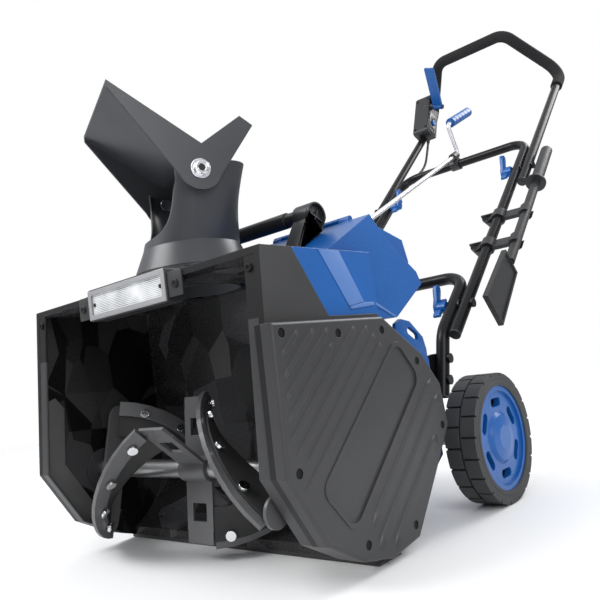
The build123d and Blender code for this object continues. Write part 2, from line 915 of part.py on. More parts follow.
# Where the crank's pinion shaft runs, from its ball cup in the hood to the ring
crank_dir = Vector(0, cos(radians(crank_slope)), sin(radians(crank_slope)))
crank_up = Vector(0, -sin(radians(crank_slope)), cos(radians(crank_slope)))
bush_at = Vector(crank_x, crank_bush_y, crank_bush_z)
ball_at = bush_at - crank_dir * ((crank_bush_y - joint_y) / cos(radians(crank_slope)))
to_chute = Vector(-ball_at.X, chute_y - ball_at.Y, 0)
pinion_ring = neck_out + pinion_gap + pinion_length / 2
pinion_at = Vector(0, chute_y, 0) - to_chute.normalized() * pinion_ring + Vector(0, 0, pinion_z)
pinion_dir = (pinion_at - ball_at).normalized()
post_share = (ball_at.Y - pinion_post_y) / (ball_at.Y - pinion_at.Y)
post_at = ball_at + (pinion_at - ball_at) * post_share

with BuildPart() as duct_pipe:
    with BuildSketch(Plane(origin=(0, chute_y, top_z - top_wall))):
        Circle(spigot)
        Circle(duct_radius, mode=Mode.SUBTRACT)
    extrude(amount=duct_top_z - top_z + top_wall)
save(duct_pipe, "duct_pipe")

with BuildPart() as chute_collar:
    with BuildSketch(Plane(origin=(0, chute_y, top_z))):
        Circle(skirt_radius)
        Circle(neck_in, mode=Mode.SUBTRACT)
    extrude(amount=collar_thick)
    with BuildSketch(Plane(origin=(0, chute_y, top_z))):
        Circle(skirt_radius)
        Circle(skirt_radius - skirt_wall, mode=Mode.SUBTRACT)
    extrude(amount=ring_low_z - 2 * loose_fit - top_z)
    shaft_gate = pinion_radius + 2 * rod_clear
    bar(ball_at, pinion_at + pinion_dir * (pinion_length / 2 + rod_clear), shaft_gate, mode=Mode.SUBTRACT)
save(chute_collar, "chute_collar")

throat_mid = (throat_back - throat_front) / 2
throat_run = throat_back + throat_front


def pivot_point(across):
    return chute_side.from_local_coords(Vector(pivot_reach, pivot_z, across))


with BuildPart() as chute:
    with BuildSketch(chute_level(neck_low_z)):
        Circle(neck_out)
    extrude(amount=neck_top_z - neck_low_z)
    with BuildSketch(chute_level(ring_low_z)):
        Circle(skirt_radius)
    with BuildSketch(chute_level(neck_top_z)):
        Circle(neck_out)
    loft()
    with BuildSketch(chute_level(neck_top_z)):
        Circle(neck_out)
    with BuildSketch(chute_level(throat_z)):
        with Locations((0, throat_mid)):
            RectangleRounded(2 * throat_half, throat_run, throat_corner)
    loft()
    for side in (-1, 1):
        boss_start = pivot_point(side * (throat_half - boss_depth))
        bar(boss_start, pivot_point(side * throat_half), boss_round)
    with BuildSketch(chute_level(neck_top_z)):
        Circle(neck_out - chute_wall)
    with BuildSketch(chute_level(throat_z)):
        with Locations((0, throat_mid)):
            inner_wide = 2 * (throat_half - chute_wall)
            RectangleRounded(inner_wide, throat_run - 2 * chute_wall, throat_corner - chute_wall)
    loft(mode=Mode.SUBTRACT)
    with BuildSketch(chute_level(neck_low_z)):
        Circle(neck_in)
    extrude(amount=neck_top_z - neck_low_z, mode=Mode.SUBTRACT)
    with BuildSketch(chute_side):
        with BuildLine():
            far_reach = neck_out + throat_back
            front_reach = throat_front - chute_wall
            rise = Spline(
                (neck_out + lip_start, lip_z),
                (neck_out - lip_in, lip_z + lip_lift),
                (neck_out - lip_mid_in, lip_mid_z),
                (front_reach, lip_top_z),
            )
            Polyline(
                rise @ 1,
                (front_reach, throat_z + lip_lift),
                (far_reach, throat_z + lip_lift),
                (far_reach, lip_z),
                rise @ 0,
            )
        make_face()
    extrude(amount=2 * throat_half, both=True, mode=Mode.SUBTRACT)
    with BuildSketch(chute_level(ring_low_z)):
        with PolarLocations((neck_out + ring_radius + tooth_depth) / 2, ring_teeth):
            Rectangle(ring_radius - neck_out - tooth_depth, tooth_depth)
    extrude(amount=tooth_depth, mode=Mode.SUBTRACT)
    pivot_far = pivot_point(-2 * throat_half)
    pivot_near = pivot_point(2 * throat_half)
    bar(pivot_far, pivot_near, pivot_bolt_radius + run_fit, mode=Mode.SUBTRACT)
save(chute, "chute")

cheek_in = throat_half + deflector_gap
cheek_out = cheek_in + deflector_wall
roof_rise = atan2(roof_tip_z - roof_rear_z, roof_tip_reach - roof_rear_reach)
roof_drop = Vector(sin(roof_rise), -cos(roof_rise)) * deflector_wall
with BuildPart() as deflector:
    for side in (-1, 1):
        with BuildSketch(chute_side.offset(side * cheek_in)):
            with BuildLine():
                Polyline(
                    (pivot_reach - cheek_round, cheek_front_z),
                    (tab_low_reach, tab_low_z),
                    (tab_top_reach, tab_top_z),
                    (roof_rear_reach, roof_rear_z),
                    (roof_tip_reach, roof_tip_z),
                    (roof_tip_reach, cheek_low_z),
                    (cheek_front_reach, cheek_front_z),
                )
                ThreePointArc(
                    (cheek_front_reach, cheek_front_z),
                    (pivot_reach, pivot_z - cheek_round),
                    (pivot_reach - cheek_round, cheek_front_z),
                )
            make_face()
        extrude(amount=side * deflector_wall)
    with BuildSketch(chute_side):
        with BuildLine():
            Polyline(
                (roof_tip_reach, roof_tip_z),
                (roof_rear_reach, roof_rear_z),
                (roof_tail_reach, roof_tail_z),
                (roof_tail_reach, roof_tail_z - deflector_wall),
                (roof_rear_reach + roof_drop.X, roof_rear_z + roof_drop.Y),
                (roof_tip_reach, roof_tip_z - deflector_wall / cos(roof_rise)),
                close=True,
            )
        make_face()
    extrude(amount=cheek_out, both=True)
    bar(pivot_far, pivot_near, pivot_bolt_radius + run_fit, mode=Mode.SUBTRACT)
save(deflector, "deflector")

# A bolt with a domed head on one cheek, and one with a wing knob on the other
nut_in = throat_half - nut_inset
head_in = cheek_out + loose_fit
with BuildPart() as deflector_bolts:
    bar(pivot_point(-head_in), pivot_point(-nut_in), pivot_bolt_radius)
    bar(pivot_point(-head_in - pivot_head_height), pivot_point(-head_in), pivot_head_radius)
    bar(pivot_point(-nut_in), pivot_point(-nut_in - nut_height), pivot_head_radius)
    bar(pivot_point(cheek_out + knob_length), pivot_point(nut_in), pivot_bolt_radius)
    bar(pivot_point(nut_in), pivot_point(nut_in + nut_height), pivot_head_radius)
save(deflector_bolts, "deflector_bolts")


def wing_knob(base, axis, spread):
    """Hub with two wings, bored for its bolt, standing on base along axis."""
    plane = Plane(origin=base, x_dir=spread, z_dir=axis)
    with BuildSketch(plane) as hub:
        Circle(knob_hub)
    extrude(hub.sketch, amount=knob_length)
    with BuildSketch(plane.offset(knob_length / 2)) as wings:
        SlotOverall(knob_span, knob_thick)
    extrude(wings.sketch, amount=knob_length / 2 + knob_wing_stand)
    with BuildSketch(plane) as bore:
        Circle(handle_bolt_radius + run_fit)
    extrude(bore.sketch, amount=knob_length + knob_wing_stand / 2, mode=Mode.SUBTRACT)


with BuildPart() as deflector_knob:
    wing_knob(pivot_point(cheek_out + loose_fit), chute_side.z_dir, Vector(0, 0, 1))
save(deflector_knob, "deflector_knob")

# Hood: a saddle flush with the scoop and a faceted cover over motor and batteries
slope_rise = (ridge_z - top_z) / (ridge_y - slope_foot_y)
rear_slope_angle = atan2(knee_z - tail_z, tail_y - knee_y)
knee_fall = (ridge_z - knee_z) / (knee_y - ridge_y)
lid_foot_front = Vector(0, lid_front_y + loose_fit, ridge_z - (lid_front_y - ridge_y) * knee_fall)
lid_foot_knee = Vector(0, knee_y + loose_fit, knee_z + loose_fit)
lid_foot_rear = Vector(0, tail_y + loose_fit, tail_z + loose_fit)
knuckle_inner = (lid_inner_x + knuckle_inset, lid_inner_x + knuckle_inset + knuckle_length)
knuckle_outer = (lid_outer_x - knuckle_inset - knuckle_length, lid_outer_x - knuckle_inset)
lid_knuckle = (knuckle_inner[1] + knuckle_gap, knuckle_outer[0] - knuckle_gap)
with BuildPart() as motor_hood:
    side_slab(saddle_outline, -half_width, half_width)
    with BuildSketch(Plane.XY):
        with Locations((0, back_y)):
            Rectangle(2 * (half_width - saddle_skin), 4 * back_y - 4 * saddle_front_y)
    extrude(amount=top_z - saddle_skin, mode=Mode.SUBTRACT)
    with BuildSketch(Plane.YZ.offset(-hood_half)) as cover_face:
        with BuildLine():
            Polyline(*hood_outline, close=True)
        make_face()
    extrude(amount=2 * hood_half)
    with BuildSketch(Plane.YZ.offset(-hood_half + hood_wall)) as hollow:
        with BuildLine():
            Polyline(*hood_outline, close=True)
        make_face()
        offset(amount=-hood_wall, kind=Kind.INTERSECTION, mode=Mode.REPLACE)
    extrude(amount=2 * (hood_half - hood_wall), mode=Mode.SUBTRACT)
    with BuildSketch(Plane(origin=(0, chute_y, top_z))):
        Circle(chute_recess)
    extrude(amount=ridge_z - top_z, mode=Mode.SUBTRACT)
    with BuildSketch(Plane(origin=(0, chute_y, top_z - saddle_skin))):
        Circle(spigot + seat_gap)
    extrude(amount=saddle_skin, mode=Mode.SUBTRACT)
    bar(ball_at, bush_at, crank_rod_radius + rod_clear, mode=Mode.SUBTRACT)
    opening = [
        (lid_front_y + lid_margin, ridge_z - (lid_front_y + lid_margin - ridge_y)),
        (knee_y, knee_z),
        (tail_y - lid_margin, tail_z + lid_margin * tan(rear_slope_angle)),
    ]
    opening = opening + [(y - 2 * hood_wall, z - 3 * hood_wall) for y, z in reversed(opening)]
    opening = [(y + hood_wall, z + hood_wall) for y, z in opening]
    side_slab(opening, lid_inner_x + lid_margin, lid_outer_x - lid_margin, mode=Mode.SUBTRACT)
    for x_from, x_to in (knuckle_inner, knuckle_outer):
        rod(x_from, x_to, hinge_at, hinge_radius)
        foot = [
            (ridge_y - hinge_pin_radius, ridge_z - hood_wall / 2),
            (ridge_y - hinge_pin_radius / 2, hinge_z),
            (hinge_y, hinge_z + hinge_radius),
            (hinge_y, ridge_z - 2 * hood_wall),
            (ridge_y + hinge_pin_radius / 2, ridge_z - hood_wall / 2),
        ]
        side_slab(foot, x_from, x_to)
    rod(knuckle_inner[0], knuckle_outer[1], hinge_at, hinge_pin_radius)
    with BuildSketch(Plane.XY.offset(hood_floor_z + hood_wall / 2)):
        with Locations((post_at.X, post_at.Y)):
            Rectangle(pinion_post_width, pinion_post_depth)
    extrude(amount=post_at.Z + pinion_post_width / 2 - hood_floor_z - hood_wall / 2)
    bar(ball_at, pinion_at, pinion_shaft_radius + run_fit, mode=Mode.SUBTRACT)
save(motor_hood, "motor_hood")

lid_outline = [
    (lid_foot_front.Y, lid_foot_front.Z),
    (lid_top_front_y, lid_top_front_z),
    (lid_rear_top_y, lid_rear_top_z),
    (lid_back_y, lid_back_z),
    (lid_foot_rear.Y, lid_foot_rear.Z),
    (lid_foot_knee.Y, lid_foot_knee.Z),
]
with BuildPart() as battery_lid:
    side_slab(lid_outline, lid_inner_x, lid_outer_x)
    with BuildSketch(Plane.YZ.offset(lid_inner_x + lid_wall)) as hollow:
        with BuildLine():
            Polyline(*lid_outline, close=True)
        make_face()
        offset(amount=-lid_wall, kind=Kind.INTERSECTION, mode=Mode.REPLACE)
    extrude(amount=lid_outer_x - lid_inner_x - 2 * lid_wall, mode=Mode.SUBTRACT)
    mouth = [
        (lid_foot_front.Y + 2 * lid_wall, lid_foot_front.Z),
        (lid_foot_knee.Y + lid_wall / 2, lid_foot_knee.Z + 2 * lid_wall),
        (lid_foot_rear.Y - lid_wall, lid_foot_rear.Z + 3 * lid_wall),
        (lid_foot_rear.Y - 3 * lid_wall, lid_foot_rear.Z - 3 * lid_wall),
        (lid_foot_knee.Y - lid_wall, lid_foot_knee.Z - 3 * lid_wall),
        (lid_foot_front.Y + lid_wall / 2, lid_foot_front.Z - 4 * lid_wall),
    ]
    side_slab(mouth, lid_inner_x + lid_wall, lid_outer_x - lid_wall, mode=Mode.SUBTRACT)
    rod(*lid_knuckle, hinge_at, hinge_radius)
    strap = [
        (hinge_y, hinge_z + hinge_radius),
        (lid_top_front_y + strap_run, lid_top_front_z),
        (lid_top_front_y + strap_run / 4, lid_top_front_z - lid_wall),
        (lid_top_front_y - lid_wall / 2, lid_top_front_z - lid_wall),
        (hinge_y + hinge_pin_radius, hinge_z - hinge_radius / 2),
        (hinge_y, hinge_z),
    ]
    side_slab(strap, *lid_knuckle)
    rod(*lid_knuckle, hinge_at, hinge_pin_radius + run_fit, mode=Mode.SUBTRACT)
save(battery_lid, "battery_lid")

pack_low_z = hood_floor_z + hood_wall
pack_y = back_y + hood_wall + pack_clear + pack_depth / 2
with BuildPart() as battery_packs:
    for index in range(2):
        pack_x = lid_inner_x + lid_margin + pack_width / 2 + index * (pack_width + pack_gap)
        with BuildSketch(Plane.XY.offset(pack_low_z)):
            with Locations((pack_x, pack_y)):
                RectangleRounded(pack_width, pack_depth, pack_corner)
        extrude(amount=pack_height)
save(battery_packs, "battery_packs")

# Carry handle standing on the front slope
slope_at_carry = top_z + slope_rise * (carry_y - slope_foot_y)
with BuildPart() as carry_handle:
    carry_points = [
        (-carry_half, carry_y, slope_at_carry - carry_grip_radius),
        (-carry_half, carry_y, carry_z),
        (carry_half, carry_y, carry_z),
        (carry_half, carry_y, slope_at_carry - carry_grip_radius),
    ]
    tube_along(carry_points, carry_bend, carry_radius, 0)
    bar((-carry_grip_half, carry_y, carry_z), (carry_grip_half, carry_y, carry_z), carry_grip_radius)
    for side in (-1, 1):
        with BuildSketch(Plane.XY.offset(slope_at_carry - 2 * carry_radius)):
            with Locations((side * carry_half, carry_y)):
                RectangleRounded(3 * carry_radius, 4 * carry_radius, carry_radius / 2)
        extrude(amount=carry_foot_height)
    under_slope = [
        (slope_foot_y, top_z),
        (ridge_y, ridge_z),
        (ridge_y, top_z - top_wall),
    ]
    side_slab(under_slope, -half_width, half_width, mode=Mode.SUBTRACT)
save(carry_handle, "carry_handle")

# Rear body shell, motor bay floor and controller
step_y = hood_floor_rear_y + body_step_run
step_z = hood_floor_z - body_step_fall
body_outline = [
    (back_y, body_low_z),
    (back_y, hood_floor_z),
    (hood_floor_rear_y, hood_floor_z),
    (step_y, step_z),
    (body_rear_y, body_shoulder_z),
    (body_rear_y, body_low_z + body_toe_rise),
    (body_rear_y - body_toe_run, body_low_z),
]
bracket_x = frame_half - frame_radius - loose_fit - bracket_thick
flange_bolts = []
for side in (-1, 1):
    for z in (flange_low_z + flange_bolt_inset, flange_high_z - flange_bolt_inset):
        flange_bolts.append((side * (bracket_x - bracket_flange / 2), z))
shoulder_fall = (step_z - body_shoulder_z) / (body_rear_y - step_y)
gland_at = Vector(gland_x, gland_y, body_shoulder_z + shoulder_fall * (body_rear_y - gland_y))
gland_dir = Vector(0, shoulder_fall, 1).normalized()
gland_top = gland_at + gland_dir * gland_length


def flange_bolt_holes():
    for x, z in flange_bolts:
        hole_in = (x, body_rear_y - 2 * body_wall, z)
        hole_out = (x, body_rear_y + 2 * bracket_thick, z)
        bar(hole_in, hole_out, screw_radius + seat_gap, mode=Mode.SUBTRACT)


with BuildPart() as body_shell:
    side_slab(body_outline, -body_half, body_half)
    with BuildSketch(Plane.YZ.offset(-body_half + body_wall)):
        with BuildLine():
            Polyline(*body_outline, close=True)
        make_face()
        offset(amount=-body_wall, kind=Kind.INTERSECTION, mode=Mode.REPLACE)
    extrude(amount=2 * (body_half - body_wall), mode=Mode.SUBTRACT)
    rod(motor_face_x, body_half, motor_at, motor_shaft_radius + shaft_clear, mode=Mode.SUBTRACT)
    flange_bolt_holes()
    bar(gland_at - gland_dir * body_wall / 2, gland_top, gland_radius)
save(body_shell, "body_shell")

controller_x = -(body_half - body_wall - controller_side_gap - controller_length / 2)
controller_y = back_y + body_wall + controller_front_gap + controller_depth / 2
with BuildPart() as controller_box:
    with BuildSketch(Plane.XY.offset(body_low_z + body_wall)):
        with Locations((controller_x, controller_y)):
            RectangleRounded(controller_length, controller_depth, controller_corner)
    extrude(amount=controller_height)
save(controller_box, "controller_box")

# Axle brackets, axle, spacers and the bolts that hold them
leg_fall = (incline(frame_knee_y) - frame_foot_z) / (frame_knee_y - frame_foot_y)
leg_low_y = frame_foot_y + (leg_bolt_low_z - frame_foot_z) / leg_fall
leg_high_y = frame_foot_y + (leg_bolt_high_z - frame_foot_z) / leg_fall
leg_bolts = [(leg_low_y, leg_bolt_low_z), (leg_high_y, leg_bolt_high_z)]
bracket_outline = [
    (body_rear_y, flange_low_z),
    (body_rear_y, flange_high_z),
    (leg_high_y - bracket_ear, flange_high_z + bracket_rise),
    (leg_high_y + bracket_ear, flange_high_z + bracket_rise),
    (leg_low_y + bracket_ear, leg_bolt_low_z - bracket_ear),
    (axle_y + bracket_heel, wheel_radius - bracket_foot),
    (axle_y, wheel_radius - bracket_foot),
]
flange_x = bracket_x + bracket_thick / 2 - bracket_flange / 2
flange_mid_z = (flange_low_z + flange_high_z) / 2
with BuildPart() as axle_brackets:
    for side in (-1, 1):
        side_slab(bracket_outline, side * bracket_x, side * (bracket_x + bracket_thick))
        with BuildSketch(Plane.XZ.offset(-body_rear_y)):
            with Locations((side * flange_x, flange_mid_z)):
                Rectangle(bracket_flange, flange_high_z - flange_low_z)
        extrude(amount=-bracket_thick)
    rod(-half_width, half_width, axle_at, axle_radius + run_fit, mode=Mode.SUBTRACT)
    for bolt_at in leg_bolts:
        rod(-half_width, half_width, bolt_at, handle_bolt_radius + seat_gap, mode=Mode.SUBTRACT)
    flange_bolt_holes()
save(axle_brackets, "axle_brackets")

with BuildPart() as bracket_bolts:
    head_y = body_rear_y + bracket_thick
    for x, z in flange_bolts:
        bar((x, body_rear_y - body_wall, z), (x, head_y, z), screw_radius)
        bar((x, head_y, z), (x, head_y + screw_head_height, z), screw_head_radius)
    for side in (-1, 1):
        head_x = side * (frame_half + frame_radius + loose_fit)
        nut_x = side * bracket_x
        for bolt_at in leg_bolts:
            rod(nut_x, head_x, bolt_at, handle_bolt_radius)
            rod(head_x, head_x + side * bolt_head_height, bolt_at, bolt_head_radius)
            rod(nut_x - side * bolt_head_height, nut_x, bolt_at, bolt_head_radius)
save(bracket_bolts, "bracket_bolts")

# Each hub snaps over a groove near the axle's end and closes it with a dome
hub_web_out = wheel_outer_x - hub_recess
hub_web_in = hub_web_out - hub_web
hub_boss_in = wheel_inner_x + hub_boss_inset
groove_in = hub_web_in - axle_groove
axle_end = hub_web_out - hub_web / 2
with BuildPart() as wheel_axle:
    rod(-axle_end, axle_end, axle_at, axle_radius)
    for side in (-1, 1):
        with BuildSketch(Plane.YZ.offset(side * groove_in)):
            with Locations(axle_at):
                Circle(axle_radius)
                Circle(axle_radius - axle_groove_depth, mode=Mode.SUBTRACT)
        extrude(amount=side * axle_groove, mode=Mode.SUBTRACT)
        spacer_from = side * (bracket_x + bracket_thick + seat_gap)
        rod(spacer_from, side * (hub_boss_in - loose_fit), axle_at, axle_radius + axle_spacer_wall)
save(wheel_axle, "wheel_axle")

row_width = (wheel_width - tread_groove) / 2
tread_rows = [(wheel_inner_x, 0), (wheel_outer_x - row_width, tread_shift)]
for name, side in (("left", -1), ("right", 1)):
    with BuildPart() as tyre:
        rod(side * wheel_inner_x, side * wheel_outer_x, axle_at, wheel_radius - tread_depth)
        for row_x, shift in tread_rows:
            with BuildSketch(Plane.YZ.offset(side * row_x)):
                with Locations(axle_at):
                    Circle(wheel_radius)
                    with PolarLocations(wheel_radius, tread_count, start_angle=shift):
                        Rectangle(2 * tread_depth, tread_width, mode=Mode.SUBTRACT)
            extrude(amount=side * row_width)
        rod(side * wheel_inner_x, side * wheel_outer_x, axle_at, rim_radius, mode=Mode.SUBTRACT)
    save(tyre, f"tyre_{name}")

    with BuildPart() as hub:
        rod(side * (wheel_inner_x + hub_lip), side * (wheel_outer_x - hub_lip), axle_at, rim_radius - run_fit)
        well_radius = rim_radius - hub_rim_wall
        rod(side * wheel_inner_x, side * hub_web_in, axle_at, well_radius, mode=Mode.SUBTRACT)
        rod(side * hub_web_out, side * wheel_outer_x, axle_at, well_radius, mode=Mode.SUBTRACT)
        rod(side * hub_boss_in, side * hub_web_in, axle_at, hub_radius)
        with BuildSketch(Plane.YZ.offset(side * hub_web_in)):
            with Locations(axle_at):
                with PolarLocations(hub_hole_ring, hub_holes, start_angle=hub_hole_turn):
                    SlotOverall(hub_hole_length, hub_hole_width, rotation=90)
        extrude(amount=side * hub_web, mode=Mode.SUBTRACT)
        for low_x, low_radius, high_x, high_radius in (
            (hub_web_out, dome_base, hub_web_out + dome_rise, dome_shoulder),
            (hub_web_out + dome_rise, dome_shoulder, hub_web_out + dome_rise + dome_crown, dome_top),
        ):
            with BuildSketch(Plane.YZ.offset(side * low_x)):
                with Locations(axle_at):
                    Circle(low_radius)
            with BuildSketch(Plane.YZ.offset(side * high_x)):
                with Locations(axle_at):
                    Circle(high_radius)
            loft()
        bore = axle_radius + run_fit
        rod(side * hub_boss_in, side * (groove_in + run_fit), axle_at, bore, mode=Mode.SUBTRACT)
        rod(side * hub_boss_in, side * axle_end, axle_at, bore - axle_groove_depth, mode=Mode.SUBTRACT)
        snap_out = groove_in + axle_groove - run_fit
        rod(side * snap_out, side * (axle_end + shaft_end_gap), axle_at, bore, mode=Mode.SUBTRACT)
    save(hub, f"hub_{name}")


# Lamp on the front edge: bezel with ears, lens and bolts
bezel_half = lamp_half + lamp_frame
lamp_mid_z = (lamp_low_z + lamp_high_z) / 2
lamp_window = lamp_high_z - lamp_low_z - lamp_frame
with BuildPart() as lamp_bezel:
    with BuildSketch(Plane.XZ.offset(-lamp_front_y - lamp_depth)):
        with Locations((0, lamp_mid_z)):
            RectangleRounded(2 * bezel_half, lamp_high_z - lamp_low_z + lamp_frame, lamp_corner)
    extrude(amount=lamp_depth)
    with BuildSketch(Plane.XZ.offset(-lamp_front_y)):
        with Locations((0, lamp_mid_z)):
            RectangleRounded(2 * lamp_half, lamp_window, lamp_corner - seat_gap)
    extrude(amount=-lamp_depth / 2, mode=Mode.SUBTRACT)
    with BuildSketch(Plane.XY.offset(top_z)):
        for side in (-1, 1):
            with Locations((side * (bezel_half + lamp_ear / 2 - lamp_ear_lap), lamp_bolt_y)):
                RectangleRounded(lamp_ear + 2 * lamp_ear_lap, lamp_depth, lamp_corner)
        with Locations((-lamp_bolt_x, lamp_bolt_y), (lamp_bolt_x, lamp_bolt_y)):
            Circle(screw_radius + seat_gap, mode=Mode.SUBTRACT)
    extrude(amount=lamp_ear_thick)
save(lamp_bezel, "lamp_bezel")

with BuildPart() as lamp_lens:
    with BuildSketch(Plane.XZ.offset(-lamp_front_y - lamp_lens_thick - lamp_setback)):
        with Locations((0, lamp_mid_z)):
            lens_high = lamp_window - 2 * seat_gap
            RectangleRounded(2 * (lamp_half - seat_gap), lens_high, lamp_corner - seat_gap)
    extrude(amount=lamp_lens_thick)
save(lamp_lens, "lamp_lens")


# Chute crank: bent rod with a ball end, loose grip, bush on the crossbar, pinion shaft inside the hood
crank_corner = bush_at + crank_dir * crank_tail
crank_top = crank_corner + crank_up * crank_rise
grip_start = crank_top + crank_dir * grip_lead
grip_end = grip_start + crank_dir * crank_grip_length
crank_end = grip_end + crank_dir * grip_stub
with BuildPart() as crank_rod:
    tube_along([ball_at, crank_corner, crank_top, crank_end], crank_bend, crank_rod_radius, 0)
    with Locations(ball_at):
        Sphere(ball_radius)
save(crank_rod, "crank_rod")

with BuildPart() as crank_grip:
    bar(grip_start, grip_end, crank_grip_radius)
    fillet(crank_grip.edges(), grip_round)
    bar(grip_start, grip_end, crank_rod_radius + seat_gap, mode=Mode.SUBTRACT)
save(crank_grip, "crank_grip")

half_bush = crank_dir * crank_bush_length / 2
crossbar_at = (handle_ref_y, handle_ref_z)
with BuildPart() as crank_bush:
    bar(bush_at - half_bush, bush_at + half_bush, crank_bush_radius)
    rod(crank_x - clamp_half, crank_x + clamp_half, crossbar_at, tube_radius + clamp_wall)
    bar(ball_at, crank_corner, crank_rod_radius + run_fit, mode=Mode.SUBTRACT)
    rod(crank_x - clamp_half, crank_x + clamp_half, crossbar_at, tube_radius + run_fit, mode=Mode.SUBTRACT)
save(crank_bush, "crank_bush")

cup_out = ball_radius + loose_fit + cup_wall
with BuildPart() as pinion_shaft:
    bar(ball_at, pinion_at, pinion_shaft_radius)
    with Locations(ball_at):
        Sphere(cup_out)
        Sphere(ball_radius + loose_fit, mode=Mode.SUBTRACT)
    bar(ball_at - pinion_dir * 2 * cup_out, ball_at, 2 * cup_out, mode=Mode.SUBTRACT)
    pinion_plane = Plane(origin=pinion_at - pinion_dir * pinion_length / 2, z_dir=pinion_dir)
    with BuildSketch(pinion_plane):
        Circle(pinion_radius)
        with PolarLocations(pinion_radius, pinion_teeth):
            Rectangle(tooth_depth, tooth_depth, mode=Mode.SUBTRACT)
    extrude(amount=pinion_length)
save(pinion_shaft, "pinion_shaft")

# Handle tubes


def across(x_from, x_to, y, radius, mode=Mode.ADD):
    """Round bar along X, in the handle's inclined plane at y."""
    rod(x_from, x_to, (y, incline(y)), radius, mode)


with BuildPart() as lower_frame:
    frame_points = [
        (-frame_half, frame_foot_y, frame_foot_z),
        on_incline(-frame_half, frame_knee_y),
        on_incline(-frame_half, frame_top_y),
        on_incline(frame_half, frame_top_y),
        on_incline(frame_half, frame_knee_y),
        (frame_half, frame_foot_y, frame_foot_z),
    ]
    frame_bends = [knee_bend, frame_bend, frame_bend, knee_bend]
    tube_along(frame_points, frame_bends, frame_radius, frame_radius - tube_wall)
    for bolt_at in leg_bolts:
        rod(-half_width, half_width, bolt_at, handle_bolt_radius + seat_gap, mode=Mode.SUBTRACT)
    across(-half_width, half_width, low_bolt_y, handle_bolt_radius + seat_gap, mode=Mode.SUBTRACT)
save(lower_frame, "lower_frame")

with BuildPart() as middle_handle:
    middle_points = [
        on_incline(-middle_half, middle_low_y),
        on_incline(-middle_half, handle_ref_y),
        on_incline(middle_half, handle_ref_y),
        on_incline(middle_half, middle_low_y),
    ]
    tube_along(middle_points, middle_bend, tube_radius, tube_radius - tube_wall)
    for y in (low_bolt_y, fold_y):
        across(-half_width, half_width, y, handle_bolt_radius + seat_gap, mode=Mode.SUBTRACT)
save(middle_handle, "middle_handle")

loop_points = [
    on_incline(-upper_half, upper_low_y),
    on_incline(-upper_half, loop_corner_y),
    Vector(-loop_top_half, loop_top_y, loop_top_z),
    Vector(loop_top_half, loop_top_y, loop_top_z),
    on_incline(upper_half, loop_corner_y),
    on_incline(upper_half, upper_low_y),
]
with BuildPart() as upper_handle:
    tube_along(loop_points, loop_bend, tube_radius, tube_radius - tube_wall)
    across(-half_width, half_width, fold_y, handle_bolt_radius + run_fit, mode=Mode.SUBTRACT)
save(upper_handle, "upper_handle")


def foam_start(lead):
    return loop_corner_y - (loop_bend + lead) * cos(radians(handle_slope))


with BuildPart() as foam_grip:
    foam_points = list(loop_points)
    foam_points[0] = on_incline(-upper_half, foam_start(foam_lead_left))
    foam_points[-1] = on_incline(upper_half, foam_start(foam_lead))
    tube_along(foam_points, loop_bend, foam_radius, tube_radius + run_fit)
save(foam_grip, "foam_grip")

for name, half, y in (("middle", middle_half, middle_low_y), ("upper", upper_half, upper_low_y)):
    with BuildPart() as tube_caps:
        for side in (-1, 1):
            end = on_incline(side * half, y)
            bar(end - incline_dir * tube_cap_flange, end, tube_radius)
            bar(end, end + incline_dir * tube_cap_length, tube_radius - tube_wall - run_fit)
    save(tube_caps, f"{name}_tube_caps")

# Each joint of the handle: its place, the inner tube with its radius, and the outer tube
handle_joints = {
    "lower": (low_bolt_y, frame_half, frame_radius, middle_half),
    "upper": (fold_y, middle_half, tube_radius, upper_half),
}
with BuildPart() as handle_bolts:
    for y, inner, inner_radius, outer in handle_joints.values():
        for side in (-1, 1):
            bolt_in = side * (inner - inner_radius - knob_gap - knob_length)
            head_in = side * (outer + tube_radius + loose_fit)
            across(bolt_in, head_in, y, handle_bolt_radius)
            across(head_in, head_in + side * bolt_head_height, y, bolt_head_radius)
            spacer_in = side * (inner + inner_radius + seat_gap)
            spacer_out = side * (outer - tube_radius - loose_fit)
            across(spacer_in, spacer_out, y, spacer_radius)
save(handle_bolts, "handle_bolts")

for row, (y, inner, inner_radius, outer) in handle_joints.items():
    for name, side in (("left", -1), ("right", 1)):
        with BuildPart() as knob:
            knob_foot = on_incline(side * (inner - inner_radius - knob_gap), y)
            wing_knob(knob_foot, Vector(-side, 0, 0), incline_dir)
        save(knob, f"{row}_knob_{name}")

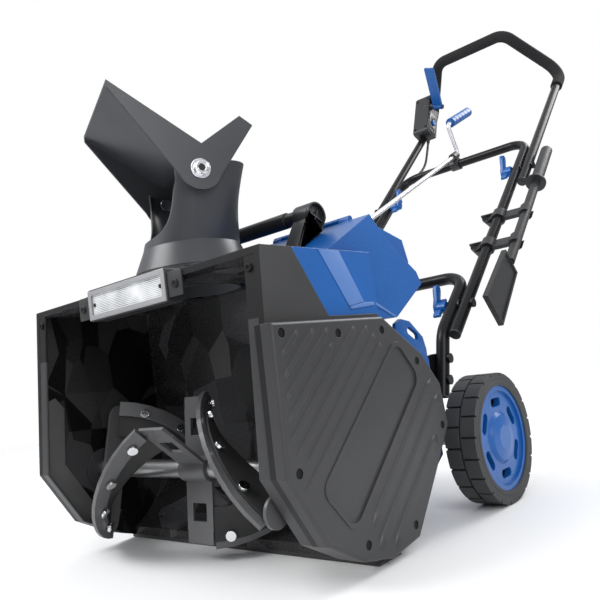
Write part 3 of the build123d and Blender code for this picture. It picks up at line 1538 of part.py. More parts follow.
# Switch box on the left tube, lock button, bail lever
switch_dir = Vector(0, cos(radians(switch_tilt)), sin(radians(switch_tilt)))
switch_at = Vector(-(upper_half - switch_inset), switch_y, switch_z)
box_out = Vector(switch_width / 2, 0, 0)
bail_run = bail_tip - bail_base
bail_axis = bail_run.cross(bail_target - bail_tip).normalized()
bail_plane = Plane(origin=bail_base, x_dir=bail_run, z_dir=bail_axis)
pin_end = bail_base - bail_axis * (bail_half_width + loose_fit)
pin_root = bail_base + bail_axis * bail_root
button_at = switch_at + box_out - switch_dir * button_drop
with BuildPart() as switch_box:
    with BuildSketch(Plane(origin=switch_at - box_out, x_dir=switch_dir, z_dir=(1, 0, 0))):
        RectangleRounded(switch_length, switch_thick, switch_corner)
    extrude(amount=switch_width)
    fillet(switch_box.edges().filter_by(Axis.X, reverse=True), switch_round)
    bar(bail_base + bail_axis * (bail_half_width + loose_fit), pin_root, bail_barrel)
    bar(pin_end, pin_root, bail_pin_radius)
    bar(pin_end - bail_axis * bail_head, pin_end, 2 * bail_pin_radius)
    tube_low = on_incline(-upper_half, upper_low_y)
    tube_high = on_incline(-upper_half, loop_corner_y + loop_bend)
    bar(tube_low, tube_high, tube_radius + run_fit, mode=Mode.SUBTRACT)
    with BuildLine() as loop_path:
        FilletPolyline(*foam_points, radius=loop_bend)
    with BuildSketch(Plane(origin=loop_path.line @ 0, z_dir=loop_path.line % 0)) as foam_hole:
        Circle(foam_radius + run_fit)
    sweep(foam_hole.sketch, path=loop_path.line, mode=Mode.SUBTRACT)
    button_well = Vector(button_height + button_travel, 0, 0)
    bar(button_at - button_well, button_at, button_radius + run_fit, mode=Mode.SUBTRACT)
save(switch_box, "switch_box")

with BuildPart() as lock_button:
    button_foot = button_at - Vector(button_height - button_stand, 0, 0)
    button_face = button_at + Vector(button_travel + button_stand, 0, 0)
    bar(button_foot, button_face, button_radius)
    fillet(lock_button.faces().sort_by(Axis.X)[-1].edges(), button_round)
save(lock_button, "lock_button")

with BuildPart() as bail_lever:
    with BuildSketch(bail_plane.offset(-bail_half_width)):
        with Locations((bail_run.length / 2 + bail_set, 0)):
            SlotOverall(bail_run.length - 2 * bail_set + bail_thick, bail_thick)
        Circle(bail_eye)
    extrude(amount=2 * bail_half_width)
    eye_reach = bail_axis * 2 * bail_half_width
    bar(bail_base - eye_reach, bail_base + eye_reach, bail_pin_radius + run_fit, mode=Mode.SUBTRACT)
save(bail_lever, "bail_lever")

# Lead from the switch box down the left leg to the body, cut at the fold.
# It stays clear of the upper tube's lower end, which swings past it.
lead_drop = -(tube_radius + lead_radius + lead_hang)
lead_fold_x = -(upper_half - tube_radius - lead_radius - 2 * loose_fit)
lead_clip_x = lead_fold_x + lead_clip_step
box_bottom = switch_at - switch_dir * switch_length / 2 + Vector(lead_box_step, 0, 0)
fold_point = on_incline(lead_fold_x, fold_y, lead_drop)
upper_route = [
    box_bottom,
    box_bottom - switch_dir * lead_box_fall,
    on_incline(lead_fold_x + lead_bow_step, lead_bow_y, lead_drop - lead_bow),
    on_incline(lead_fold_x, lead_join_y, lead_drop),
    fold_point,
]
lower_route = [
    fold_point,
    on_incline(lead_fold_x, lead_leg_y, lead_drop),
    on_incline(lead_fold_x + lead_low_step, lead_low_y, lead_drop),
    on_incline(lead_cross_x, lead_cross_y, lead_drop - lead_cross_fall),
    lead_loop_high,
    lead_loop_low,
    lead_loop_end,
    gland_top + gland_dir * lead_gland_run,
    gland_top,
]


def route_radii(points):
    radii = []
    for before, here, after in zip(points, points[1:], points[2:]):
        turn = radians((here - before).get_angle(after - here))
        shorter = min((here - before).length, (after - here).length)
        radii.append(lead_round * shorter / tan(turn / 2))
    return radii


for name, route in (("lead_upper", upper_route), ("lead_lower", lower_route)):
    with BuildPart() as lead:
        tube_along(route, route_radii(route), lead_radius, 0)
    save(lead, name)

half_clip = incline_dir * lead_clip_length / 2
with BuildPart() as lead_clip:
    leg_at = on_incline(-middle_half, lead_clip_y)
    cord_at = on_incline(lead_clip_x, lead_clip_y, lead_drop)
    bar(leg_at - half_clip, leg_at + half_clip, tube_radius + lead_clip_wall)
    bar(cord_at - half_clip, cord_at + half_clip, lead_radius + lead_clip_wall)
    bar(leg_at, cord_at, lead_clip_wall)
    bar(leg_at - 2 * half_clip, leg_at + 2 * half_clip, tube_radius + run_fit, mode=Mode.SUBTRACT)
    bar(cord_at - 2 * half_clip, cord_at + 2 * half_clip, lead_radius + lead_clip_clear, mode=Mode.SUBTRACT)
save(lead_clip, "lead_clip")

# Clean-out tool and its two clips on the right leg
clip_bore = tool_shaft_radius + loose_fit
clip_ear_x = middle_half - tube_radius - clip_wall - clip_ear_stand
with BuildPart() as tool_clips:
    for y in (clip_low_y, clip_high_y):
        low = on_incline(0, y) - incline_dir * clip_length / 2
        with BuildSketch(Plane(origin=low, x_dir=(1, 0, 0), z_dir=incline_dir)):
            with Locations((middle_half, 0)):
                Circle(tube_radius + clip_wall)
            with Locations(((middle_half + tool_x) / 2, tool_drop / 2)):
                Rectangle(tool_x - middle_half, 2 * clip_wall)
            with Locations((tool_x, tool_drop)):
                Circle(clip_bore + clip_wall)
            with Locations((clip_ear_x, 0)):
                ear_align = (Align.CENTER, Align.CENTER)
                Triangle(a=clip_ear_base, b=clip_ear_edge, c=clip_ear_edge, rotation=90, align=ear_align)
            with Locations((middle_half, 0)):
                Circle(tube_radius + run_fit, mode=Mode.SUBTRACT)
            with Locations((tool_x, tool_drop)):
                Circle(clip_bore, mode=Mode.SUBTRACT)
                mouth_align = (Align.MIN, Align.CENTER)
                Rectangle(clip_bore + 2 * clip_wall, 2 * clip_bore, align=mouth_align, mode=Mode.SUBTRACT)
        extrude(amount=clip_length)
save(tool_clips, "tool_clips")


def on_tool(y):
    return on_incline(tool_x, y, -tool_drop)


blade_plane = Plane(origin=on_tool(shaft_low_y), x_dir=-incline_dir, z_dir=(1, 0, 0))
blade_outline = [
    (0, -blade_neck / 2),
    (0, blade_neck / 2),
    (blade_length, blade_width / 2),
    (blade_length, -blade_width / 2),
]
with BuildPart() as clean_out_tool:
    bar(on_tool(guard_y), on_tool(tool_top_y), tool_grip_radius)
    fillet(clean_out_tool.faces().sort_by(Axis.Z)[-1].edges(), tool_round)
    bar(on_tool(guard_y), on_tool(guard_y) + incline_dir * guard_thick, guard_radius)
    bar(on_tool(shaft_low_y), on_tool(guard_y), tool_shaft_radius)
    with BuildSketch(blade_plane.offset(-blade_rim / 2)):
        with BuildLine():
            Polyline(*blade_outline, close=True)
        make_face()
    extrude(amount=blade_rim)
    for side in (-1, 1):
        with BuildSketch(blade_plane.offset(side * blade_plate / 2)):
            with BuildLine():
                Polyline(*blade_outline, close=True)
            make_face()
            offset(amount=-blade_rim / 2, mode=Mode.REPLACE)
        extrude(amount=side * blade_rim, mode=Mode.SUBTRACT)
save(clean_out_tool, "clean_out_tool")
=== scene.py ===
import math

import bmesh
import bpy
from mathutils import Matrix, Vector


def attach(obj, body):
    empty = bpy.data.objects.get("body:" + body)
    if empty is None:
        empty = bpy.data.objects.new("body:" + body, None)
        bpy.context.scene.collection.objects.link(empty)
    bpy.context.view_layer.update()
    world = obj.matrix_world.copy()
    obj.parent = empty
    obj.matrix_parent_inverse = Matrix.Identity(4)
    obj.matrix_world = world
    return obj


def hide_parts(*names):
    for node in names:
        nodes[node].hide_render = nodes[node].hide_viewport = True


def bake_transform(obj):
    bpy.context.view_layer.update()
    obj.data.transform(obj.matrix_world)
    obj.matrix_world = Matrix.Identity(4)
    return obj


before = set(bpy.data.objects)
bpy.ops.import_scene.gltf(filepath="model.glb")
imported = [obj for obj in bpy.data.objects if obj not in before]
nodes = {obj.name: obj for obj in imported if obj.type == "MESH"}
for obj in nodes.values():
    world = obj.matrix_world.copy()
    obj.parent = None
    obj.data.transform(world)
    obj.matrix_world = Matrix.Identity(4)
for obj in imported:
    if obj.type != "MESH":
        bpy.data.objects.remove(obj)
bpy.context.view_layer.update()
MM = 0.001
SIDES = (("left", -1), ("right", 1))


# Materials

NOISE_ROUGH = 0.55
TONE_SCALE, TONE_SPAN = 9.0, (0.3, 0.7)  # noise for the broad tone, and the part of its range in use
SCUFF_SCALE, SCUFF_SPAN, SCUFF_LEAST = 60.0, (0.35, 0.65), 0.2  # the same for the paler edges, partly worn and partly painted highlight
GRAIN_SPAN = (0.25, 0.75)
BEVEL_SAMPLES = 6
EDGE_STARTS, EDGE_FULL = 0.94, 0.62  # cosine between the rounded and the true normal
ROUGH_LESS, ROUGH_MORE, ROUGH_LEAST = 0.07, 0.08, 0.03
SHARD_TURN, SHARD_STRETCH = (0.5, 0.3, 0.9), (1.0, 1.7, 0.8)
SHARD_SECOND = 0.62  # scale of the second set of patches, as a share of the first
SHARD_PLAIN = 0.45  # share of the patches that keep the plain colour
LENS_PALE, LENS_GREY = (0.84, 0.85, 0.86), (0.16, 0.17, 0.19)
LENS_FLUTES, LENS_WAVER, LENS_FLUTE_DEPTH, LENS_FLUTE_STRENGTH = 150.0, 0.15, 0.0008, 0.5
LENS_PATCHES, LENS_PATCH_LEAST = 26.0, 0.1
LENS_ROUGH, LENS_COAT = 0.14, 0.6


def link(tree, a, b):
    tree.links.new(a, b)


def node(tree, kind, **values):
    n = tree.nodes.new(kind)
    for key, value in values.items():
        setattr(n, key, value)
    return n


def set_inputs(tree, n, values):
    for socket, value in zip(n.inputs, values):
        if isinstance(value, bpy.types.NodeSocket):
            link(tree, value, socket)
        else:
            socket.default_value = value


def number(tree, operation, *values):
    n = node(tree, "ShaderNodeMath", operation=operation)
    set_inputs(tree, n, values)
    return n.outputs["Value"]


def vector(tree, operation, *values, result="Vector"):
    n = node(tree, "ShaderNodeVectorMath", operation=operation)
    set_inputs(tree, n, values)
    return n.outputs[result]


def axis_of(tree, value, axis):
    n = node(tree, "ShaderNodeSeparateXYZ")
    link(tree, value, n.inputs[0])
    return n.outputs[axis]


def mapped(tree, coords, **values):
    n = node(tree, "ShaderNodeMapping")
    for key, value in values.items():
        n.inputs[key].default_value = value
    link(tree, coords, n.inputs["Vector"])
    return n.outputs["Vector"]


def noise(tree, coords, scale, detail):
    n = node(tree, "ShaderNodeTexNoise")
    n.inputs["Scale"].default_value = scale
    n.inputs["Detail"].default_value = detail
    n.inputs["Roughness"].default_value = NOISE_ROUGH
    link(tree, coords, n.inputs["Vector"])
    return n.outputs["Fac"]


def cells(tree, coords, scale):
    n = node(tree, "ShaderNodeTexVoronoi", feature="F1", distance="EUCLIDEAN")
    n.inputs["Scale"].default_value = scale
    link(tree, coords, n.inputs["Vector"])
    return n.outputs["Color"]


def remap(tree, value, low, high, to_low, to_high):
    n = node(tree, "ShaderNodeMapRange")
    n.inputs["From Min"].default_value = low
    n.inputs["From Max"].default_value = high
    n.inputs["To Min"].default_value = to_low
    n.inputs["To Max"].default_value = to_high
    link(tree, value, n.inputs["Value"])
    return n.outputs["Result"]


def mix_colour(tree, factor, a, b):
    n = node(tree, "ShaderNodeMix", data_type="RGBA")
    for socket, value in ((n.inputs[6], a), (n.inputs[7], b)):
        if isinstance(value, tuple):
            socket.default_value = (*value, 1.0)
        else:
            link(tree, value, socket)
    link(tree, factor, n.inputs[0])
    return n.outputs[2]


def mix_shaders(tree, factor, first, second, output):
    n = node(tree, "ShaderNodeMixShader")
    set_inputs(tree, n, (factor, first, second))
    link(tree, n.outputs["Shader"], output.inputs["Surface"])


def shade(colour, factor):
    return tuple(min(1.0, c * factor) for c in colour)


def bump(tree, height, distance, strength, normal=None):
    n = node(tree, "ShaderNodeBump")
    n.inputs["Distance"].default_value = distance
    n.inputs["Strength"].default_value = strength
    link(tree, height, n.inputs["Height"])
    if normal is not None:
        link(tree, normal, n.inputs["Normal"])
    return n.outputs["Normal"]


def edge_mask(tree, radius):
    """Rounded normal at sharp edges, and how far each point is from flat there."""
    bevel = node(tree, "ShaderNodeBevel", samples=BEVEL_SAMPLES)
    bevel.inputs["Radius"].default_value = radius
    rounded = bevel.outputs["Normal"]
    plain = node(tree, "ShaderNodeNewGeometry").outputs["Normal"]
    cosine = vector(tree, "DOT_PRODUCT", rounded, plain, result="Value")
    return rounded, remap(tree, cosine, EDGE_STARTS, EDGE_FULL, 0.0, 1.0)


def faceted(tree, coords, normal, tinted, colour, scale, tilt, glint):
    """Flat patches that each lean a little, as on a folded sheet, some painted paler as painted reflections."""
    shards = cells(tree, mapped(tree, coords, Rotation=SHARD_TURN, Scale=SHARD_STRETCH), scale)
    centred = vector(tree, "SUBTRACT", shards, (0.5, 0.5, 0.5))
    leaning = vector(tree, "ADD", normal, vector(tree, "MULTIPLY", centred, (tilt, tilt, tilt)))
    stacked = vector(tree, "ADD", shards, cells(tree, coords, scale * SHARD_SECOND))
    chance = axis_of(tree, vector(tree, "FRACTION", stacked), "X")
    # the paler patches are painted reflections, not a colour of the sheet
    painted_glint = remap(tree, chance, SHARD_PLAIN, 1.0, 0.0, 1.0)
    return vector(tree, "NORMALIZE", leaning), mix_colour(tree, painted_glint, tinted, shade(colour, glint))


def new_material(name):
    mat = bpy.data.materials.new(name)
    mat.use_nodes = True
    tree = mat.node_tree
    coords = node(tree, "ShaderNodeTexCoord").outputs["Object"]
    return mat, tree, tree.nodes["Principled BSDF"], coords


def solid(
    name, colour, rough, metal=0.0, tone=0.18, grain=700.0, grain_depth=0.00012, grain_strength=0.25,
    edge=0.0009, edge_wear_and_highlight=1.35, spec=0.5, streak=None, facets=None,
):
    """A moulded, painted or metal finish: mottled tone, fine grain, softened edges, paler in patches along them,
    partly worn and partly painted highlight.
    """
    mat, tree, shader, coords = new_material(name)
    if streak:
        fine = noise(tree, mapped(tree, coords, Scale=streak), grain, detail=4.0)
    else:
        fine = noise(tree, coords, grain, detail=2.0)
    broad = remap(tree, noise(tree, coords, TONE_SCALE, detail=4.0), *TONE_SPAN, 0.0, 1.0)
    tinted = mix_colour(tree, broad, shade(colour, 1 - tone), shade(colour, 1 + tone))
    normal = None
    if edge:
        normal, wear_and_highlight_mask = edge_mask(tree, edge)
        patchy = remap(tree, noise(tree, coords, SCUFF_SCALE, detail=5.0), *SCUFF_SPAN, SCUFF_LEAST, 1.0)
        # edges paler in patches: partly worn, partly painted highlight
        tinted = mix_colour(tree, number(tree, "MULTIPLY", wear_and_highlight_mask, patchy), tinted, shade(colour, edge_wear_and_highlight))
    if facets:
        normal, tinted = faceted(tree, coords, normal, tinted, colour, *facets)
    smoothest = max(ROUGH_LEAST, rough - ROUGH_LESS)
    link(tree, tinted, shader.inputs["Base Color"])
    link(tree, remap(tree, fine, *GRAIN_SPAN, smoothest, rough + ROUGH_MORE), shader.inputs["Roughness"])
    link(tree, bump(tree, fine, grain_depth, grain_strength, normal), shader.inputs["Normal"])
    shader.inputs["Metallic"].default_value = metal
    shader.inputs["Specular IOR Level"].default_value = spec
    return mat


def lens_material():
    """White moulded lens with fine flutes, greyer in patches."""
    mat, tree, shader, coords = new_material("lamp_lens")
    wave = node(tree, "ShaderNodeTexWave", wave_type="BANDS", bands_direction="Z")
    wave.inputs["Scale"].default_value = LENS_FLUTES
    wave.inputs["Distortion"].default_value = LENS_WAVER
    link(tree, coords, wave.inputs["Vector"])
    flutes = wave.outputs["Fac"]
    patchy = remap(tree, noise(tree, coords, LENS_PATCHES, detail=2.0), *SCUFF_SPAN, LENS_PATCH_LEAST, 1.0)
    tone = number(tree, "MULTIPLY", flutes, patchy)
    link(tree, mix_colour(tree, tone, LENS_PALE, LENS_GREY), shader.inputs["Base Color"])
    link(tree, bump(tree, flutes, LENS_FLUTE_DEPTH, LENS_FLUTE_STRENGTH), shader.inputs["Normal"])
    shader.inputs["Roughness"].default_value = LENS_ROUGH
    shader.inputs["Coat Weight"].default_value = LENS_COAT
    return mat


BLUE = (0.006, 0.090, 0.330)
FINISHES = {
    # Inside the scoop: the back, roof and floor are painted paler and the side walls darker, as painted light and
    # shade; their paler patches are painted reflections
    "scoop_inside_painted_light": dict(
        colour=(0.022, 0.022, 0.023), rough=0.26, tone=0.25, edge_wear_and_highlight=2.0, spec=0.28, facets=(15.0, 0.5, 3.4),
    ),
    "scoop_sides_painted_dark": dict(
        colour=(0.0050, 0.0050, 0.0052), rough=0.30, tone=0.25, edge_wear_and_highlight=4.0, spec=0.16, facets=(15.0, 0.3, 8.0),
    ),
    "scoop": dict(colour=(0.028, 0.028, 0.029), rough=0.44, grain=1100.0, edge_wear_and_highlight=1.9),
    "lip": dict(colour=(0.0065, 0.0065, 0.007), rough=0.42, grain=1100.0, edge_wear_and_highlight=4.0, spec=0.3),
    "cheek": dict(colour=(0.085, 0.085, 0.086), rough=0.42, grain=1100.0, edge_wear_and_highlight=1.8),
    "charcoal": dict(colour=(0.028, 0.028, 0.030), rough=0.42, grain=1100.0, edge_wear_and_highlight=1.9),
    "chute": dict(
        colour=(0.042, 0.044, 0.049), rough=0.36, grain=1500.0, grain_depth=0.00006,
        edge=0.0012, edge_wear_and_highlight=2.4, spec=0.4,
    ),
    "blue": dict(colour=BLUE, rough=0.30, tone=0.08, grain=1300.0, grain_depth=0.00004, edge_wear_and_highlight=1.7, spec=0.42),
    "grip_blue": dict(colour=BLUE, rough=0.36, tone=0.10, grain_depth=0.00008, edge=0.0, spec=0.42),
    # paler blue for the hood's bands and ledges: a painted highlight on them
    "blue_painted_highlight": dict(
        colour=(0.085, 0.180, 0.430), rough=0.45, tone=0.06, grain=1300.0, grain_depth=0.00005,
        edge_wear_and_highlight=1.3, spec=0.3,
    ),
    "pale_grey": dict(colour=(0.30, 0.30, 0.31), rough=0.35, tone=0.08, grain=1200.0, edge_wear_and_highlight=1.3),
    "body": dict(colour=(0.016, 0.016, 0.017), rough=0.40, grain=900.0, edge_wear_and_highlight=1.9),
    "switch_face": dict(colour=(0.050, 0.050, 0.052), rough=0.36, grain=1200.0, edge_wear_and_highlight=1.8),
    "tube": dict(
        colour=(0.009, 0.009, 0.010), rough=0.27, tone=0.1, grain=420.0, grain_depth=0.00005,
        edge_wear_and_highlight=2.0, spec=0.17,
    ),
    "steel": dict(
        colour=(0.34, 0.34, 0.35), rough=0.34, metal=1.0, grain=60.0, edge_wear_and_highlight=1.25, streak=(1.0, 24.0, 24.0),
    ),
    "flight": dict(colour=(0.105, 0.105, 0.108), rough=0.40, metal=0.35, grain=300.0, edge_wear_and_highlight=2.2),
    "bright": dict(
        colour=(0.78, 0.78, 0.80), rough=0.12, metal=1.0, tone=0.05, grain=500.0, grain_depth=0.00003, edge_wear_and_highlight=1.1,
    ),
    "crank": dict(
        colour=(0.80, 0.80, 0.82), rough=0.26, metal=0.7, tone=0.05, grain=600.0, grain_depth=0.00003, edge=0.0,
    ),
    "black_bolt": dict(colour=(0.010, 0.010, 0.011), rough=0.38, metal=0.4, edge_wear_and_highlight=2.4),
    "screw_black": dict(colour=(0.0035, 0.0035, 0.004), rough=0.5, grain=900.0, edge_wear_and_highlight=3.0, spec=0.2),
    "rubber": dict(colour=(0.014, 0.014, 0.014), rough=0.60, grain=500.0, edge_wear_and_highlight=1.6),
    "tyre": dict(
        colour=(0.046, 0.046, 0.047), rough=0.62, tone=0.22, grain=420.0, grain_depth=0.0003,
        edge_wear_and_highlight=2.2, spec=0.35,
    ),
    "foam": dict(
        colour=(0.018, 0.018, 0.019), rough=0.85, grain=1400.0, grain_depth=0.0004, grain_strength=0.7,
        edge_wear_and_highlight=1.2, spec=0.25,
    ),
    "motor": dict(colour=(0.10, 0.10, 0.11), rough=0.35, metal=0.6),
    "alloy": dict(colour=(0.55, 0.56, 0.57), rough=0.35, metal=1.0),
    "lead": dict(colour=(0.012, 0.012, 0.013), rough=0.5, grain=900.0),
}
finish = {name: solid(name, **values) for name, values in FINISHES.items()}
finish["lens"] = lens_material()

FINISH_NODES = {
    "charcoal": ["auger_bearings", "auger_pulley", "belt_cover", "lamp_bezel", "pinion_shaft", "scraper_bar"],
    "flight": ["auger_blades", "auger_frame"],
    "bright": ["auger_bolts", "deflector_bolts"],
    "rubber": ["auger_flights", "drive_belt"],
    "scoop": ["auger_housing"],
    "steel": ["auger_shaft", "motor_pulley", "wheel_axle"],
    "black_bolt": ["axle_brackets", "bracket_bolts", "handle_bolts", "scraper_bolts"],
    "screw_black": ["panel_screws"],
    "blue": [
        "bail_lever", "battery_lid", "body_shell", "deflector_knob", "hub_left", "hub_right", "lock_button",
        "lower_knob_left", "lower_knob_right", "motor_hood", "upper_knob_left", "upper_knob_right",
    ],
    "grip_blue": ["crank_grip"],
    "body": [
        "battery_packs", "carry_handle", "clean_out_tool", "controller_box", "crank_bush", "lead_clip",
        "middle_tube_caps", "switch_box", "tool_clips", "upper_tube_caps",
    ],
    "chute": ["chute", "chute_collar", "deflector", "duct_pipe"],
    "crank": ["crank_rod"],
    "foam": ["foam_grip"],
    "alloy": ["idler_pulley"],
    "motor": ["motor"],
    "lens": ["lamp_lens"],
    "lead": ["lead_lower", "lead_upper"],
    "tube": ["lower_frame", "middle_handle", "upper_handle"],
    "tyre": ["tyre_left", "tyre_right"],
}
node_finish = {name: key for key, names in FINISH_NODES.items() for name in names}
for name, obj in nodes.items():
    obj.data.materials.clear()
    obj.data.materials.append(finish[node_finish[name]])


# Stage, light and camera

FLOOR_HALF, FLOOR_DROP = 9.0, 0.0005
FLOOR_TONE, FLOOR_ROUGH, FLOOR_SPEC = 0.86, 0.9, 0.1
FLOOR_FADE = (1.2, 3.2)  # distances between which the floor clears into the white backdrop
SKY_TINT = (0.95, 0.97, 1.0)
SKY_SPAN, SKY_STRENGTH = (0.05, 0.7), (0.28, 0.95)  # the sky's gradient: heights and strengths
GLOSSY_SHARE = 0.15  # share of the white backdrop in reflections
LAMPS = [
    ("key", (-1.2, -1.6, 2.4), (0.0, 0.1, 0.3), (1.6, 1.2), 60.0),
    ("fill", (2.4, -1.0, 1.4), (0.1, 0.2, 0.3), (1.2, 1.6), 32.0),
    ("rim", (0.8, 2.6, 2.2), (0.0, 0.3, 0.4), (1.6, 1.2), 42.0),
]
CAMERA_AT = (0.6667, -0.6049, 0.2265)
CAMERA_RIGHT = (0.745, 0.6538, -0.1323)
CAMERA_UP = (0.1655, 0.011, 0.9862)
CAMERA_BACK = (0.6462, -0.7566, -0.1)
CAMERA_SENSOR, CAMERA_LENS = 36.0, 38.73


def put(name, data):
    obj = bpy.data.objects.new(name, data)
    bpy.context.collection.objects.link(obj)
    return obj


def lay_floor():
    s = FLOOR_HALF
    mesh = bpy.data.meshes.new("floor")
    mesh.from_pydata([(-s, -s, 0), (s, -s, 0), (s, s, 0), (-s, s, 0)], [], [(0, 1, 2, 3)])
    floor = put("floor", mesh)
    floor.location.z = -FLOOR_DROP
    mat, tree, shader, coords = new_material("floor")
    shader.inputs["Base Color"].default_value = (FLOOR_TONE, FLOOR_TONE, FLOOR_TONE, 1.0)
    shader.inputs["Roughness"].default_value = FLOOR_ROUGH
    shader.inputs["Specular IOR Level"].default_value = FLOOR_SPEC
    fade = remap(tree, vector(tree, "LENGTH", coords, result="Value"), *FLOOR_FADE, 0.0, 1.0)
    clear = node(tree, "ShaderNodeBsdfTransparent")
    mix_shaders(tree, fade, shader.outputs["BSDF"], clear.outputs["BSDF"], tree.nodes["Material Output"])
    mesh.materials.append(mat)


def studio():
    """A soft sky as light, and plain white behind the object."""
    world = bpy.data.worlds.new("studio")
    bpy.context.scene.world = world
    world.use_nodes = True
    tree = world.node_tree
    sky = tree.nodes["Background"]
    sky.inputs["Color"].default_value = (*SKY_TINT, 1.0)
    height = axis_of(tree, node(tree, "ShaderNodeTexCoord").outputs["Generated"], "Z")
    link(tree, remap(tree, height, *SKY_SPAN, *SKY_STRENGTH), sky.inputs["Strength"])
    white = node(tree, "ShaderNodeBackground")
    white.inputs["Color"].default_value = (1.0, 1.0, 1.0, 1.0)
    white.inputs["Strength"].default_value = 1.0
    path = node(tree, "ShaderNodeLightPath")
    direct = number(tree, "MAXIMUM", path.outputs["Is Camera Ray"], path.outputs["Is Transmission Ray"])
    glossy = number(tree, "MULTIPLY", path.outputs["Is Glossy Ray"], GLOSSY_SHARE)
    shown = number(tree, "MAXIMUM", direct, glossy)
    mix_shaders(tree, shown, sky.outputs["Background"], white.outputs["Background"], tree.nodes["World Output"])


def lamp(name, place, target, size, power):
    data = bpy.data.lights.new(name, "AREA")
    data.shape = "RECTANGLE"
    data.size, data.size_y = size
    data.energy = power
    obj = put(name, data)
    obj.location = place
    obj.rotation_euler = (Vector(target) - Vector(place)).to_track_quat("-Z", "Y").to_euler()


def camera():
    data = bpy.data.cameras.new("camera")
    data.sensor_width = CAMERA_SENSOR
    data.lens = CAMERA_LENS
    obj = put("camera", data)
    turn = Matrix((CAMERA_RIGHT, CAMERA_UP, CAMERA_BACK)).transposed()
    obj.matrix_world = Matrix.Translation(CAMERA_AT) @ turn.to_4x4()
    bpy.context.scene.camera = obj


lay_floor()
studio()
for values in LAMPS:
    lamp(*values)
camera()
bpy.context.scene.view_settings.view_transform = "Standard"


# Builders for the pieces below; all take millimetres

CREASE = math.radians(32)  # edges sharper than this stay crisp in soft shading
PLATE_FLAT, PLATE_SHARP = 0.02, 0.6  # angles: faces merged below the first, edges rounded above the second
PLATE_SEGMENTS, PLATE_ROUND = 2, 0.6
POINT_RADIUS = 0.01  # a turned ring smaller than this is one point
HEAD_FLOOR, HEAD_SHOULDER, HEAD_TAPER, HEAD_SINK = 0.55, 0.6, 0.8, 0.3
FORWARD, RIGHTWARD = (0, -1, 0), (1, 0, 0)


def make(name, bm, mat, body, smooth=True):
    """Close a piece: clean normals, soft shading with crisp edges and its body."""
    bmesh.ops.recalc_face_normals(bm, faces=bm.faces)
    mesh = bpy.data.meshes.new(name)
    bm.to_mesh(mesh)
    bm.free()
    obj = put(name, mesh)
    mesh.materials.append(mat)
    for polygon in mesh.polygons:
        polygon.use_smooth = smooth
    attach(obj, body)
    if smooth:
        mesh.set_sharp_from_angle(angle=CREASE)
    return obj


def join_rings(bm, rings, closed=True):
    """Add the faces between each ring of points and the next, and the two end faces if the rings are closed."""
    for a, b in zip(rings, rings[1:]):
        for i in range(len(a) if closed else len(a) - 1):
            j = (i + 1) % len(a)
            bm.faces.new((a[i], a[j], b[j], b[i]))
    if closed:
        bm.faces.new(rings[0])
        bm.faces.new(rings[-1])


def ring_points(centre, axis, radius, sides):
    across_one = axis.orthogonal().normalized()
    across_two = axis.cross(across_one)
    steps = [2 * math.pi * i / sides for i in range(sides)]
    return [centre + radius * (across_one * math.cos(a) + across_two * math.sin(a)) for a in steps]


def turned(bm, profile, origin, axis, sides):
    """Add a body of revolution: profile holds (radius, distance along the axis) from one end to the other."""
    axis = Vector(axis).normalized()
    loops = []
    for radius, run in profile:
        centre = Vector(origin) + axis * run
        points = [centre] if radius < POINT_RADIUS else ring_points(centre, axis, radius, sides)
        loops.append([bm.verts.new(p * MM) for p in points])
    for a, b in zip(loops, loops[1:]):
        for i in range(sides):
            j = (i + 1) % sides
            corners = [a[i % len(a)], a[j % len(a)], b[j % len(b)], b[i % len(b)]]
            bm.faces.new(list(dict.fromkeys(corners)))


def screw(bm, size, at, axis, sides):
    """Add a screw head; size holds its radius, its height and its socket's radius."""
    radius, height, socket = size
    profile = [
        (0.0, height * HEAD_FLOOR), (socket * HEAD_TAPER, height * HEAD_FLOOR), (socket, height),
        (radius * HEAD_TAPER, height), (radius, height * HEAD_SHOULDER), (radius, -HEAD_SINK), (0.0, -HEAD_SINK),
    ]
    turned(bm, profile, at, axis, sides)


def plate(bm, loops, place, thick, edge):
    """Add a plate: the first loop is its outline, the others are holes; place turns (u, v, w) into a point."""
    part = bmesh.new()
    edges = []
    for loop in loops:
        verts = [part.verts.new(place(u, v, 0.0) * MM) for u, v in loop]
        edges += [part.edges.new((verts[i], verts[(i + 1) % len(verts)])) for i in range(len(verts))]
    bmesh.ops.triangle_fill(part, use_beauty=True, edges=edges)
    rise = (place(0.0, 0.0, thick) - place(0.0, 0.0, 0.0)) * MM
    grown = bmesh.ops.extrude_face_region(part, geom=part.faces[:])
    bmesh.ops.translate(part, vec=rise, verts=[g for g in grown["geom"] if isinstance(g, bmesh.types.BMVert)])
    bmesh.ops.recalc_face_normals(part, faces=part.faces)
    bmesh.ops.dissolve_limit(part, angle_limit=PLATE_FLAT, verts=part.verts[:], edges=part.edges[:])
    sharp = [e for e in part.edges if len(e.link_faces) == 2 and e.calc_face_angle() > PLATE_SHARP]
    bmesh.ops.bevel(
        part, geom=sharp, offset=edge * MM, segments=PLATE_SEGMENTS, affect="EDGES", profile=PLATE_ROUND,
    )
    copy = bpy.data.meshes.new("plate")
    part.to_mesh(copy)
    part.free()
    bm.from_mesh(copy)
    bpy.data.meshes.remove(copy)


def side_place(x, side):
    """Plates that lie against a side wall: u runs back, v up, w outwards from x."""
    return lambda u, v, w: Vector((side * (x + w), u, v))


def front_place(y):
    """Plates that face forward: u runs right, v up, w forward from y."""
    return lambda u, v, w: Vector((u, y - w, v))


def box_loop(u0, u1, v0, v1):
    return [(u0, v0), (u1, v0), (u1, v1), (u0, v1)]


def direction(degrees):
    return Vector((math.cos(math.radians(degrees)), math.sin(math.radians(degrees))))


def left_of(run):
    return Vector((-run.y, run.x))


# Belt cover: parallel mouldings across the plate, clear of its panel and screws

